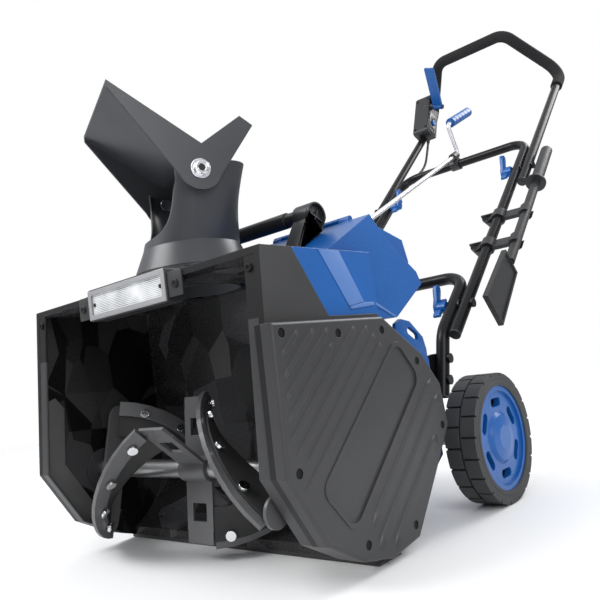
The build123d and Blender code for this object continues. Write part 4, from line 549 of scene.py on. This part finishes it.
COVER_OUTLINE = [
    (-158, 271), (33, 271), (109, 222), (145, 180), (150, 126), (109, 81), (46, 13), (-10, 6), (-60, 17),
    (-116, 48), (-162, 122.7),
]
COVER_SCREWS = [(-145, 260), (-56, 255), (27, 255), (95, 213), (133, 128), (39, 29), (-54, 33), (-145, 125)]
COVER_FACE = 245.0
PANEL_AT = Vector((-10.0, 147.0))
ALONG = direction(40.0)
ACROSS = left_of(ALONG)
RIB_ROWS = [(50.0, 15.5, 9.0, 1.5), (-56.0, -23.0, 16.0, 2.4)]  # first place, step, width and height
RIB_REACH, RIB_LONGEST, RIB_SHORTEST = 200.0, 400.0, 14.0
RIB_MARGIN, SCREW_CLEAR = 9.0, 10.0
RIB_SINK = 0.4  # how deep a rib's foot lies under the cover's face
RIB_CROWN, RIB_TAPER, RIB_TIP = 0.32, 0.9, 0.45  # half of the crown, sloped end and tip, in widths
PARALLEL = 1e-6


def rib_span(offset):
    """Stretch of the line at that distance from the panel's axis that stays inside the cover's edge."""
    low, high = -RIB_LONGEST, RIB_LONGEST
    start = PANEL_AT + ACROSS * offset
    for a, b in zip(COVER_OUTLINE, COVER_OUTLINE[1:] + COVER_OUTLINE[:1]):
        inward = -left_of((Vector(b) - Vector(a)).normalized())
        depth = (start - Vector(a)).dot(inward) - RIB_MARGIN
        rate = ALONG.dot(inward)
        if abs(rate) < PARALLEL:
            if depth < 0:
                return []
        elif rate > 0:
            low = max(low, -depth / rate)
        else:
            high = min(high, -depth / rate)
    return [(low, high)] if high - low > RIB_SHORTEST else []


def rib_stretches(offset, width):
    """What is left of that line between the screws."""
    parts = rib_span(offset)
    reach = SCREW_CLEAR + width / 2
    for screw_at in COVER_SCREWS:
        rel = Vector(screw_at) - PANEL_AT
        distance = abs(rel.dot(ACROSS) - offset)
        if distance < reach:
            half = math.sqrt(reach ** 2 - distance ** 2)
            at = rel.dot(ALONG)
            parts = [
                piece
                for low, high in parts
                for piece in ((low, min(high, at - half)), (max(low, at + half), high))
                if piece[1] - piece[0] > RIB_SHORTEST
            ]
    return parts


def add_rib(bm, offset, start, end, width, height):
    profile = [(-0.5, -RIB_SINK), (-RIB_CROWN, height), (RIB_CROWN, height), (0.5, -RIB_SINK)]
    slope = width * RIB_TAPER
    rings = []
    for at, tip in ((start, True), (start + slope, False), (end - slope, False), (end, True)):
        ring = []
        for side, rise in profile:
            p = PANEL_AT + ALONG * at + ACROSS * (offset + side * width * (RIB_TIP if tip else 1.0))
            x = COVER_FACE + (-RIB_SINK if tip else rise)
            ring.append(bm.verts.new((x * MM, p.x * MM, p.y * MM)))
        rings.append(ring)
    join_rings(bm, rings, closed=False)


def cover_ribs():
    bm = bmesh.new()
    for offset, step, width, height in RIB_ROWS:
        while abs(offset) < RIB_REACH:
            for low, high in rib_stretches(offset, width):
                add_rib(bm, offset, low, high, width, height)
            offset += step
    make("cover_ribs", bm, finish["charcoal"], "chassis", smooth=False)


cover_ribs()


# Scoop: dark glossy inside, satin outside, black front edges; inside, the side walls are painted darker and the other
# faces paler, as painted shade and light

INSIDE = Vector((0.0, -0.060, 0.200))  # a point in the middle of the scoop, in metres
SCOOP_FINISHES = ("scoop", "scoop_inside_painted_light", "scoop_sides_painted_dark", "lip")
SIDEWAYS, FRONTWARD = 0.7, -0.5  # a face belongs to the side walls or the front edge beyond these


def scoop_shell():
    mesh = nodes["auger_housing"].data.copy()
    mesh.name = "scoop_shell"
    mesh.materials.clear()
    obj = put("scoop_shell", mesh)
    for name in SCOOP_FINISHES:
        mesh.materials.append(finish[name])
    for polygon in mesh.polygons:
        name = "scoop"
        if polygon.normal.dot(INSIDE - polygon.center) > 0:
            # side walls take the darker copy and the rest of the inside the paler one: painted shade and light
            name = "scoop_sides_painted_dark" if abs(polygon.normal.x) > SIDEWAYS else "scoop_inside_painted_light"
        elif polygon.normal.y < FRONTWARD:
            name = "lip"
        polygon.material_index = SCOOP_FINISHES.index(name)
    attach(obj, "chassis")
    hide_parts("auger_housing")


scoop_shell()


# Mouth: a folded lip along each side wall with its screw, and a grey cheek plate inside the wall behind it

MOUTH_LINE = [Vector(p) for p in ((-145.0, 351.0), (-162.0, 122.7), (-116.0, 48.0), (-60.0, 17.0))]
LIP_IN, LIP_OUT, LIP_THICK, LIP_GAP = 206.0, 222.4, 3.0, 0.3
LIP_CHAMFER, LIP_LEAN = 1.0, 0.35
LIP_CHANGE = 0.317  # share of the upright edge, from the top, where the lip turns from black to grey
CHEEK_X, CHEEK_GAP, CHEEK_DEEP = 220.6, 3.5, 34.0
CHEEK_TOP = 0.571  # share of the upright edge where the cheek plate starts
CHEEK_FOOT, CHEEK_DIP = Vector((-62.0, 21.5)), Vector((0.0, -8.0))
PEAK_SHARE, PEAK_RISE = 0.6, Vector((0.0, 12.0))
LIP_SCREW, LIP_SCREW_X, LIP_SCREW_SHARE = (4.6, 2.4, 2.2), 214.0, 0.09
LIP_FACING = Vector((0.0, -0.9973, 0.0741))


def shifted(line, amount):
    """The line moved inwards by that amount, with mitred corners."""
    normals = [left_of((b - a).normalized()) for a, b in zip(line, line[1:])]
    out = []
    for i, p in enumerate(line):
        near = normals[max(0, i - 1)]
        far = normals[min(i, len(normals) - 1)]
        mitre = (near + far).normalized()
        out.append(p + mitre * amount / mitre.dot(near))
    return out


def on_upright(share):
    return MOUTH_LINE[0].lerp(MOUTH_LINE[1], share)


def mouth_lips():
    change = on_upright(LIP_CHANGE)
    line = [MOUTH_LINE[0], change, *MOUTH_LINE[1:]]
    bm = bmesh.new()
    for _, side in SIDES:
        rings = []
        for f, b in zip(shifted(line, LIP_GAP), shifted(line, LIP_GAP + LIP_THICK)):
            corners = (
                (LIP_IN + LIP_CHAMFER, f), (LIP_OUT, f), (LIP_OUT, b), (LIP_IN, b), (LIP_IN, f + (b - f) * LIP_LEAN),
            )
            rings.append([bm.verts.new(Vector((side * x, p.x, p.y)) * MM) for x, p in corners])
        join_rings(bm, rings)
    lips = make("mouth_lips", bm, finish["lip"], "chassis", smooth=False)
    lips.data.materials.append(finish["charcoal"])
    for polygon in lips.data.polygons:
        if polygon.center.z < change.y * MM:
            polygon.material_index = 1


def mouth_cheeks():
    line = [on_upright(CHEEK_TOP), *MOUTH_LINE[1:]]
    outer, inner = shifted(line, CHEEK_GAP), shifted(line, CHEEK_DEEP)
    outer[-1] = CHEEK_FOOT
    inner[0] += CHEEK_DIP
    peak = outer[0].lerp(inner[0], PEAK_SHARE) + PEAK_RISE
    bm = bmesh.new()
    for _, side in SIDES:
        plate(bm, [outer + inner[::-1] + [peak]], side_place(CHEEK_X, side), thick=1.6, edge=0.4)
    make("mouth_cheeks", bm, finish["cheek"], "chassis")


def lip_screws():
    p = on_upright(LIP_SCREW_SHARE)
    bm = bmesh.new()
    for _, side in SIDES:
        screw(bm, LIP_SCREW, Vector((side * LIP_SCREW_X, p.x, p.y)), LIP_FACING, sides=24)
    make("lip_screws", bm, finish["screw_black"], "chassis")


mouth_lips()
mouth_cheeks()
lip_screws()


# Lamp: pale frame round the lens, ears with screws, small lens screws

LAMP_OUTER, LAMP_INNER = box_loop(-80.5, 80.5, 319.0, 357.0), box_loop(-74.0, 74.0, 325.5, 350.5)
LAMP_FACE, EAR_FACE = -148.9, -145.1
EAR_OUTLINE = [(83.0, 322.0), (108.0, 322.0), (108.0, 349.0), (105.0, 351.4), (83.0, 351.4)]
EAR_SCREW, EAR_SCREW_AT = (5.2, 2.6, 2.4), (97.0, -147.7, 336.0)
LENS_SCREW, LENS_SCREW_AT = (2.6, 1.0, 1.1), (69.5, -148.0, 338.0)


def lamp_trim():
    bm = bmesh.new()
    plate(bm, [LAMP_OUTER, LAMP_INNER], front_place(LAMP_FACE), thick=1.6, edge=0.5)
    make("lamp_frame", bm, finish["pale_grey"], "chassis")
    bm = bmesh.new()
    for _, side in SIDES:
        plate(bm, [[(side * u, v) for u, v in EAR_OUTLINE]], front_place(EAR_FACE), thick=2.6, edge=0.6)
    make("lamp_ears", bm, finish["charcoal"], "chassis")
    bm = bmesh.new()
    for _, side in SIDES:
        for size, (x, y, z), sides in ((EAR_SCREW, EAR_SCREW_AT, 24), (LENS_SCREW, LENS_SCREW_AT, 20)):
            screw(bm, size, (side * x, y, z), FORWARD, sides)
    make("lamp_screws", bm, finish["black_bolt"], "chassis")


lamp_trim()


# Hood: a slanted band on each flank and the ledge under it, in paler blue as a painted highlight

FLANK_FRONT, FLANK_REAR = 229.9, 211.9
BAND = [(-52.7, 350.5), (-9.0, 286.0), (20.5, 291.0), (-15.5, 350.5)]
LEDGE_FRONT = [(-9.0, 285.4), (-6.5, 282.4), (40.5, 286.4), (40.5, 290.2), (21.0, 290.4)]
LEDGE_REAR = [(44.0, 287.0), (72.0, 288.0), (110.0, 272.4), (116.5, 272.4), (72.6, 292.0), (44.0, 291.0)]


def hood_trim():
    bm = bmesh.new()
    for _, side in SIDES:
        plate(bm, [BAND], side_place(FLANK_FRONT, side), thick=1.0, edge=0.4)
        plate(bm, [LEDGE_FRONT], side_place(FLANK_FRONT, side), thick=1.6, edge=0.5)
        plate(bm, [LEDGE_REAR], side_place(FLANK_REAR, side), thick=1.4, edge=0.5)
    make("hood_bands", bm, finish["blue_painted_highlight"], "chassis")


hood_trim()


# Body: a pierced lug on each flank and louvres across the back

LUG_X = 181.5
LUG = [
    (146.0, 254.0), (221.0, 210.5), (221.5, 226.0), (216.0, 244.0), (186.0, 268.0), (164.0, 272.0), (150.0, 266.0),
]
LUG_RUN = Vector((86.0, -50.0)).normalized()
HOLE_AT, HOLE_HALF, HOLE_RADIUS, HOLE_SIDES = Vector((190.0, 250.0)), 9.0, 5.5, 28
LOUVRES, LOUVRE_LOW, LOUVRE_STEP, LOUVRE_HALF, LOUVRE_SINK = 7, 118.0, 11.0, 58.0, 0.3
LOUVRE_PROFILE = [(222.0, -3.2), (225.2, -2.6), (225.6, -1.2), (222.0, 3.0)]


def body_lugs():
    hole = []
    for i in range(HOLE_SIDES):
        a = 2 * math.pi * i / HOLE_SIDES
        end = HOLE_HALF if math.cos(a) > 0 else -HOLE_HALF
        along = LUG_RUN * (end + HOLE_RADIUS * math.cos(a))
        hole.append(HOLE_AT + along + left_of(LUG_RUN) * HOLE_RADIUS * math.sin(a))
    bm = bmesh.new()
    for _, side in SIDES:
        plate(bm, [LUG, hole], side_place(LUG_X, side), thick=6.0, edge=0.8)
    make("body_lugs", bm, finish["blue"], "chassis")


def body_louvres():
    bm = bmesh.new()
    for i in range(LOUVRES):
        z = LOUVRE_LOW + LOUVRE_STEP * i
        ends = []
        for x in (-LOUVRE_HALF, LOUVRE_HALF):
            ends.append([bm.verts.new(Vector((x, y - LOUVRE_SINK, z + h)) * MM) for y, h in LOUVRE_PROFILE])
        join_rings(bm, ends)
    make("body_louvres", bm, finish["body"], "chassis", smooth=False)


body_lugs()
body_louvres()


# Battery lid: finger grip across the top

LID_FRONT, LID_REAR = Vector((99.0, 405.5)), Vector((184.0, 383.0))
LID_BARS, BAR_FIRST, BAR_STEP, BAR_SINK = 5, 46.0, 7.5, 0.2
BAR = [(66.0, -1.8), (152.0, -1.8), (154.0, 0.0), (152.0, 1.8), (66.0, 1.8), (64.0, 0.0)]


def lid_trim():
    run = (LID_REAR - LID_FRONT).normalized()
    bm = bmesh.new()
    for i in range(LID_BARS):
        p = LID_FRONT + run * (BAR_FIRST + BAR_STEP * i)

        def place(u, v, w, p=p):
            q = p + run * v + left_of(run) * (w - BAR_SINK)
            return Vector((u, q.x, q.y))

        plate(bm, [BAR], place, thick=2.0, edge=0.6)
    make("lid_grip", bm, finish["blue"], "lid")


lid_trim()


# Carry handle: a hollow elbow end that leans down to the hood, open outwards and crossed by ribs

ELBOW_AT, ELBOW_RADIUS = Vector((60.0, 421.0)), 18.0
ELBOW_FROM, ELBOW_STEP, ELBOW_POINTS = -12, 11, 20  # degrees round the elbow
ELBOW_FOOT = [Vector((14.0, 371.4)), Vector((66.0, 398.8))]
ELBOW_MIDDLE, ELBOW_WALL = Vector((49.0, 405.0)), 3.2
ELBOW_X, ELBOW_RIM_X, ELBOW_RIB_X = 119.0, 144.0, 144.2
ELBOW_RIBS = [((58.0, 418.0), -25.0, 14.0), ((47.0, 403.0), -25.0, 14.0), ((53.0, 411.0), 58.0, 19.0)]
ELBOW_RIB_HALF = 0.8


def carry_ends():
    turns = [ELBOW_FROM + ELBOW_STEP * i for i in range(ELBOW_POINTS)]
    outer = [ELBOW_AT + ELBOW_RADIUS * direction(a) for a in turns] + ELBOW_FOOT
    inner = [p + (ELBOW_MIDDLE - p).normalized() * ELBOW_WALL for p in outer]
    bm = bmesh.new()
    for _, side in SIDES:
        plate(bm, [outer], side_place(ELBOW_X, side), thick=25.5, edge=1.0)
        plate(bm, [outer, inner], side_place(ELBOW_RIM_X, side), thick=5.0, edge=0.7)
        for at, turn, reach in ELBOW_RIBS:
            start, end = (Vector(at) + direction(turn) * s * reach for s in (-1, 1))
            beside = left_of(direction(turn)) * ELBOW_RIB_HALF
            rib = [start - beside, end - beside, end + beside, start + beside]
            plate(bm, [rib], side_place(ELBOW_RIB_X, side), thick=3.6, edge=0.3)
    make("carry_ends", bm, finish["body"], "chassis")


carry_ends()


# Chute pivot: washer, bright rim and hex socket on the visible bolt

PIVOT_AT, PIVOT_AXIS = Vector((-2.68, -40.47, 485.0)), Vector((0.9239, -0.3827, 0.0))
PIVOT_WASHER = [(8.9, 91.9), (12.6, 91.9), (13.2, 92.4), (12.6, 93.0), (8.9, 93.0)]
PIVOT_RIM = [(4.6, 96.9), (5.2, 97.5), (7.6, 97.5), (8.95, 96.6), (8.95, 96.4)]
PIVOT_SOCKET = [(0.0, 97.05), (3.9, 97.05), (4.6, 97.3), (4.8, 96.8)]


def pivot_trim():
    bm = bmesh.new()
    for profile in (PIVOT_WASHER, PIVOT_RIM):
        turned(bm, profile, PIVOT_AT, PIVOT_AXIS, sides=48)
    make("pivot_washer", bm, finish["bright"], "chute_body")
    bm = bmesh.new()
    turned(bm, PIVOT_SOCKET, PIVOT_AT, PIVOT_AXIS, sides=6)
    make("pivot_socket", bm, finish["black_bolt"], "chute_body", smooth=False)


pivot_trim()


# Wheels: a dark disc behind the hub's slots as painted shade inside the wheel, and two beads on the outer sidewall

WHEEL_AT = (0.0, 262.0, 90.0)
SLOT_SHADE_DISC = [(18.6, 245.0), (18.6, 247.5), (40.0, 248.4), (64.4, 247.0), (64.4, 245.0), (18.6, 245.0)]
BEADS = [
    [(74.4, 265.6), (75.0, 266.5), (77.6, 266.5), (78.2, 265.6)],
    [(82.2, 265.6), (82.6, 266.2), (84.0, 266.2), (84.4, 265.6)],
]


def wheel_trim():
    for name, side in SIDES:
        bm = bmesh.new()
        # a dark disc behind the slots: painted shade inside the wheel
        turned(bm, SLOT_SHADE_DISC, WHEEL_AT, (side, 0, 0), sides=64)
        make(f"hub_shade_disc_{name}", bm, finish["charcoal"], f"wheel_{name}")
        bm = bmesh.new()
        for profile in BEADS:
            turned(bm, profile, WHEEL_AT, (side, 0, 0), sides=96)
        make(f"tyre_bead_{name}", bm, finish["tyre"], f"wheel_{name}")


wheel_trim()


# Handle knobs: a waisted lever on each hub

LEVER_HALF = [(0.0, -9.0), (6.0, -8.0), (9.0, 2.0), (6.6, 16.0), (8.6, 33.0), (7.0, 41.0), (0.0, 43.0)]
LEVER = LEVER_HALF + [(-u, v) for u, v in reversed(LEVER_HALF[1:-1])]
LEVER_LEAN = Vector((0.24, 0.97)).normalized()
LEVER_ROWS = (("lower", Vector((415.0, 292.9)), 104.5), ("upper", Vector((750.0, 579.0)), 130.5))


def knob_levers():
    for row, at, inner in LEVER_ROWS:
        for name, side in SIDES:
            bm = bmesh.new()

            def place(u, v, w, at=at, inner=inner, side=side):
                p = at - left_of(LEVER_LEAN) * u + LEVER_LEAN * v
                return Vector((side * (inner + w), p.x, p.y))

            plate(bm, [LEVER], place, thick=8.0, edge=1.6)
            make(f"{row}_lever_{name}", bm, finish["blue"], f"knob_{row}_{name}")


knob_levers()


# Tool clips: a triangular gusset with a lip on the tube's inner side

TUBE_RUN, TUBE_OUT = Vector((0.0, 0.7604, 0.6494)), Vector((0.0, -0.6494, 0.7604))
CLIP_FEET = [Vector((0.0, 616.0, 462.5)), Vector((0.0, 543.0, 400.2))]
GUSSET = [(153.0, 9.0), (127.0, 9.0), (127.0, 4.0), (150.0, -26.0), (153.0, -26.0)]
GUSSET_SINK, GUSSET_LIP, GUSSET_LIP_AT = 1.5, box_loop(126.0, 154.0, -8.0, 8.0), 8.0


def clip_gussets():
    bm = bmesh.new()
    for foot in CLIP_FEET:

        def web(u, v, w, foot=foot):
            return foot + Vector((u, 0.0, 0.0)) + TUBE_RUN * v + TUBE_OUT * (w - GUSSET_SINK)

        def lip(u, v, w, foot=foot):
            return foot + Vector((u, 0.0, 0.0)) + TUBE_OUT * v + TUBE_RUN * (GUSSET_LIP_AT + w)

        plate(bm, [GUSSET], web, thick=3.0, edge=0.4)
        plate(bm, [GUSSET_LIP], lip, thick=3.2, edge=0.6)
    make("clip_gussets", bm, finish["body"], "chassis")


clip_gussets()


# Crank grip: a gently waved sleeve over it

GRIP_AT, GRIP_AXIS = Vector((-16.0, 907.11, 795.09)), Vector((0.0, 0.9041, 0.4274))
GRIP_RADIUS, GRIP_WAVE, GRIP_PERIOD = 11.6, 0.3, 8
GRIP_FROM, GRIP_STEP, GRIP_STATIONS = -60.0, 2.5, 49
GRIP_END = [(9.4, 62.0), (9.6, 62.6), (11.0, 62.2), (11.7, 61.2)]
GRIP_WELD = 0.00001


def grip_sleeve():
    profile = [(radius, -run) for radius, run in GRIP_END]
    for i in range(GRIP_STATIONS):
        wave = GRIP_WAVE * math.cos(2 * math.pi * i / GRIP_PERIOD)
        profile.append((GRIP_RADIUS + wave, GRIP_FROM + GRIP_STEP * i))
    profile += GRIP_END[::-1]
    bm = bmesh.new()
    turned(bm, [*profile, profile[0]], GRIP_AT, GRIP_AXIS, sides=48)
    bmesh.ops.remove_doubles(bm, verts=bm.verts, dist=GRIP_WELD)
    make("grip_sleeve", bm, finish["grip_blue"], "crank_sleeve")


grip_sleeve()


# Switch box: face plate with its slot, corner screws and a ribbed sleeve where the lead leaves

BOX_AT = Vector((0.0, 1050.0, 880.0))
BOX_UP, BOX_AHEAD = Vector((0.0, 0.4067, 0.9135)), Vector((0.0, -0.9135, 0.4067))
BOX_FACE_X, BOX_MIDDLE_X, BOX_FRONT = -157.1, -181.0, 25.0
SWITCH_PLATE = [
    (-19.0, -55.0), (-16.0, -58.0), (16.0, -58.0), (19.0, -55.0), (19.0, 0.0), (16.0, 3.0), (-16.0, 3.0), (-19.0, 0.0),
]
SWITCH_SLOT = box_loop(-9.0, 9.0, -51.0, -43.0)
BUTTON_V, BUTTON_RADIUS, BUTTON_SIDES = -25.0, 9.8, 28
BOX_SCREW, BOX_SCREW_SIDES = (3.6, 1.6, 1.6), 20
FACE_SCREWS = ((-17.5, 54.0), (17.5, 54.0))
FRONT_SCREWS = ((-17.0, -50.0), (-17.0, 50.0), (17.0, -50.0), (17.0, 50.0))
SLEEVE_X, SLEEVE_DROP, SLEEVE_BORE = -167.0, 65.0, 3.4
SLEEVE_RIBS, SLEEVE_FIRST, SLEEVE_STEP = 5, 2.0, 5.0
SLEEVE_RADIUS, SLEEVE_TAPER, SLEEVE_GROOVE = 6.4, 0.5, 1.3
SLEEVE_RIB_END, SLEEVE_GROOVE_START, SLEEVE_GROOVE_END = 3.0, 3.3, 4.7  # from where each rib starts
SLEEVE_FLANGE, SLEEVE_SINK, SLEEVE_TIP, SLEEVE_LENGTH = 6.6, 0.5, 3.9, 27.0


def across_box(x):
    return Vector((x, 0.0, 0.0))


def on_face(u, v, w):
    return BOX_AT + BOX_AHEAD * u + BOX_UP * v + across_box(BOX_FACE_X + w)


def switch_trim():
    turns = [2 * math.pi * i / BUTTON_SIDES for i in range(BUTTON_SIDES)]
    button = [(BUTTON_RADIUS * math.cos(a), BUTTON_V + BUTTON_RADIUS * math.sin(a)) for a in turns]
    bm = bmesh.new()
    plate(bm, [SWITCH_PLATE, button, SWITCH_SLOT], on_face, thick=1.4, edge=0.4)
    make("switch_plate", bm, finish["switch_face"], "upper_loop")
    bm = bmesh.new()
    for u, v in FACE_SCREWS:
        screw(bm, BOX_SCREW, on_face(u, v, 0.0), RIGHTWARD, BOX_SCREW_SIDES)
    for x, v in FRONT_SCREWS:
        at = BOX_AT + BOX_AHEAD * BOX_FRONT + BOX_UP * v + across_box(BOX_MIDDLE_X + x)
        screw(bm, BOX_SCREW, at, BOX_AHEAD, BOX_SCREW_SIDES)
    make("switch_screws", bm, finish["black_bolt"], "upper_loop")


def lead_sleeve():
    profile = [(SLEEVE_BORE, -SLEEVE_SINK), (SLEEVE_FLANGE, -SLEEVE_SINK)]
    for i in range(SLEEVE_RIBS):
        at, radius = SLEEVE_FIRST + SLEEVE_STEP * i, SLEEVE_RADIUS - SLEEVE_TAPER * i
        groove = radius - SLEEVE_GROOVE
        profile += [(radius, at), (radius, at + SLEEVE_RIB_END)]
        profile += [(groove, at + SLEEVE_GROOVE_START), (groove, at + SLEEVE_GROOVE_END)]
    profile += [(SLEEVE_TIP, SLEEVE_LENGTH), (SLEEVE_BORE, SLEEVE_LENGTH), (SLEEVE_BORE, -SLEEVE_SINK)]
    bm = bmesh.new()
    turned(bm, profile, BOX_AT - BOX_UP * SLEEVE_DROP + across_box(SLEEVE_X), -BOX_UP, sides=28)
    make("lead_sleeve", bm, finish["rubber"], "upper_loop")


switch_trim()
lead_sleeve()


# Lead: both lengths as one, turning at the handle's fold, with extra cuts on each side of it

FOLD_AT = Vector((-174.2, 763.1, 563.6))
FOLD_CUTS, FOLD_STEP, FOLD_NEAR = 7, 0.006, 0.2  # cuts to each side, their spacing and reach in metres
END_FLAT, END_NEAR, END_WELD = 0.0003, 0.006, 0.00004  # metres


def lead_line():
    bm = bmesh.new()
    bm.from_mesh(nodes["lead_upper"].data)
    bm.from_mesh(nodes["lead_lower"].data)
    fold = FOLD_AT * MM
    run = TUBE_RUN

    def is_end(face):
        level = all(abs((v.co - fold).dot(run)) < END_FLAT for v in face.verts)
        return level and (face.calc_center_median() - fold).length < END_NEAR

    bmesh.ops.delete(bm, geom=[f for f in bm.faces if is_end(f)], context="FACES_ONLY")
    bmesh.ops.remove_doubles(bm, verts=bm.verts, dist=END_WELD)
    for i in range(-FOLD_CUTS, FOLD_CUTS + 1):
        at = fold + run * FOLD_STEP * i
        near = [f for f in bm.faces if min((v.co - at).length for v in f.verts) < FOLD_NEAR]
        geom = near + list({e for f in near for e in f.edges}) + list({v for f in near for v in f.verts})
        bmesh.ops.bisect_plane(bm, geom=geom, plane_co=at, plane_no=run)
    mesh = bpy.data.meshes.new("lead_line")
    bm.to_mesh(mesh)
    bm.free()
    obj = put("lead_line", mesh)
    mesh.materials.append(finish["lead"])
    for polygon in mesh.polygons:
        polygon.use_smooth = True
    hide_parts("lead_upper", "lead_lower")
    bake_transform(obj)


lead_line()
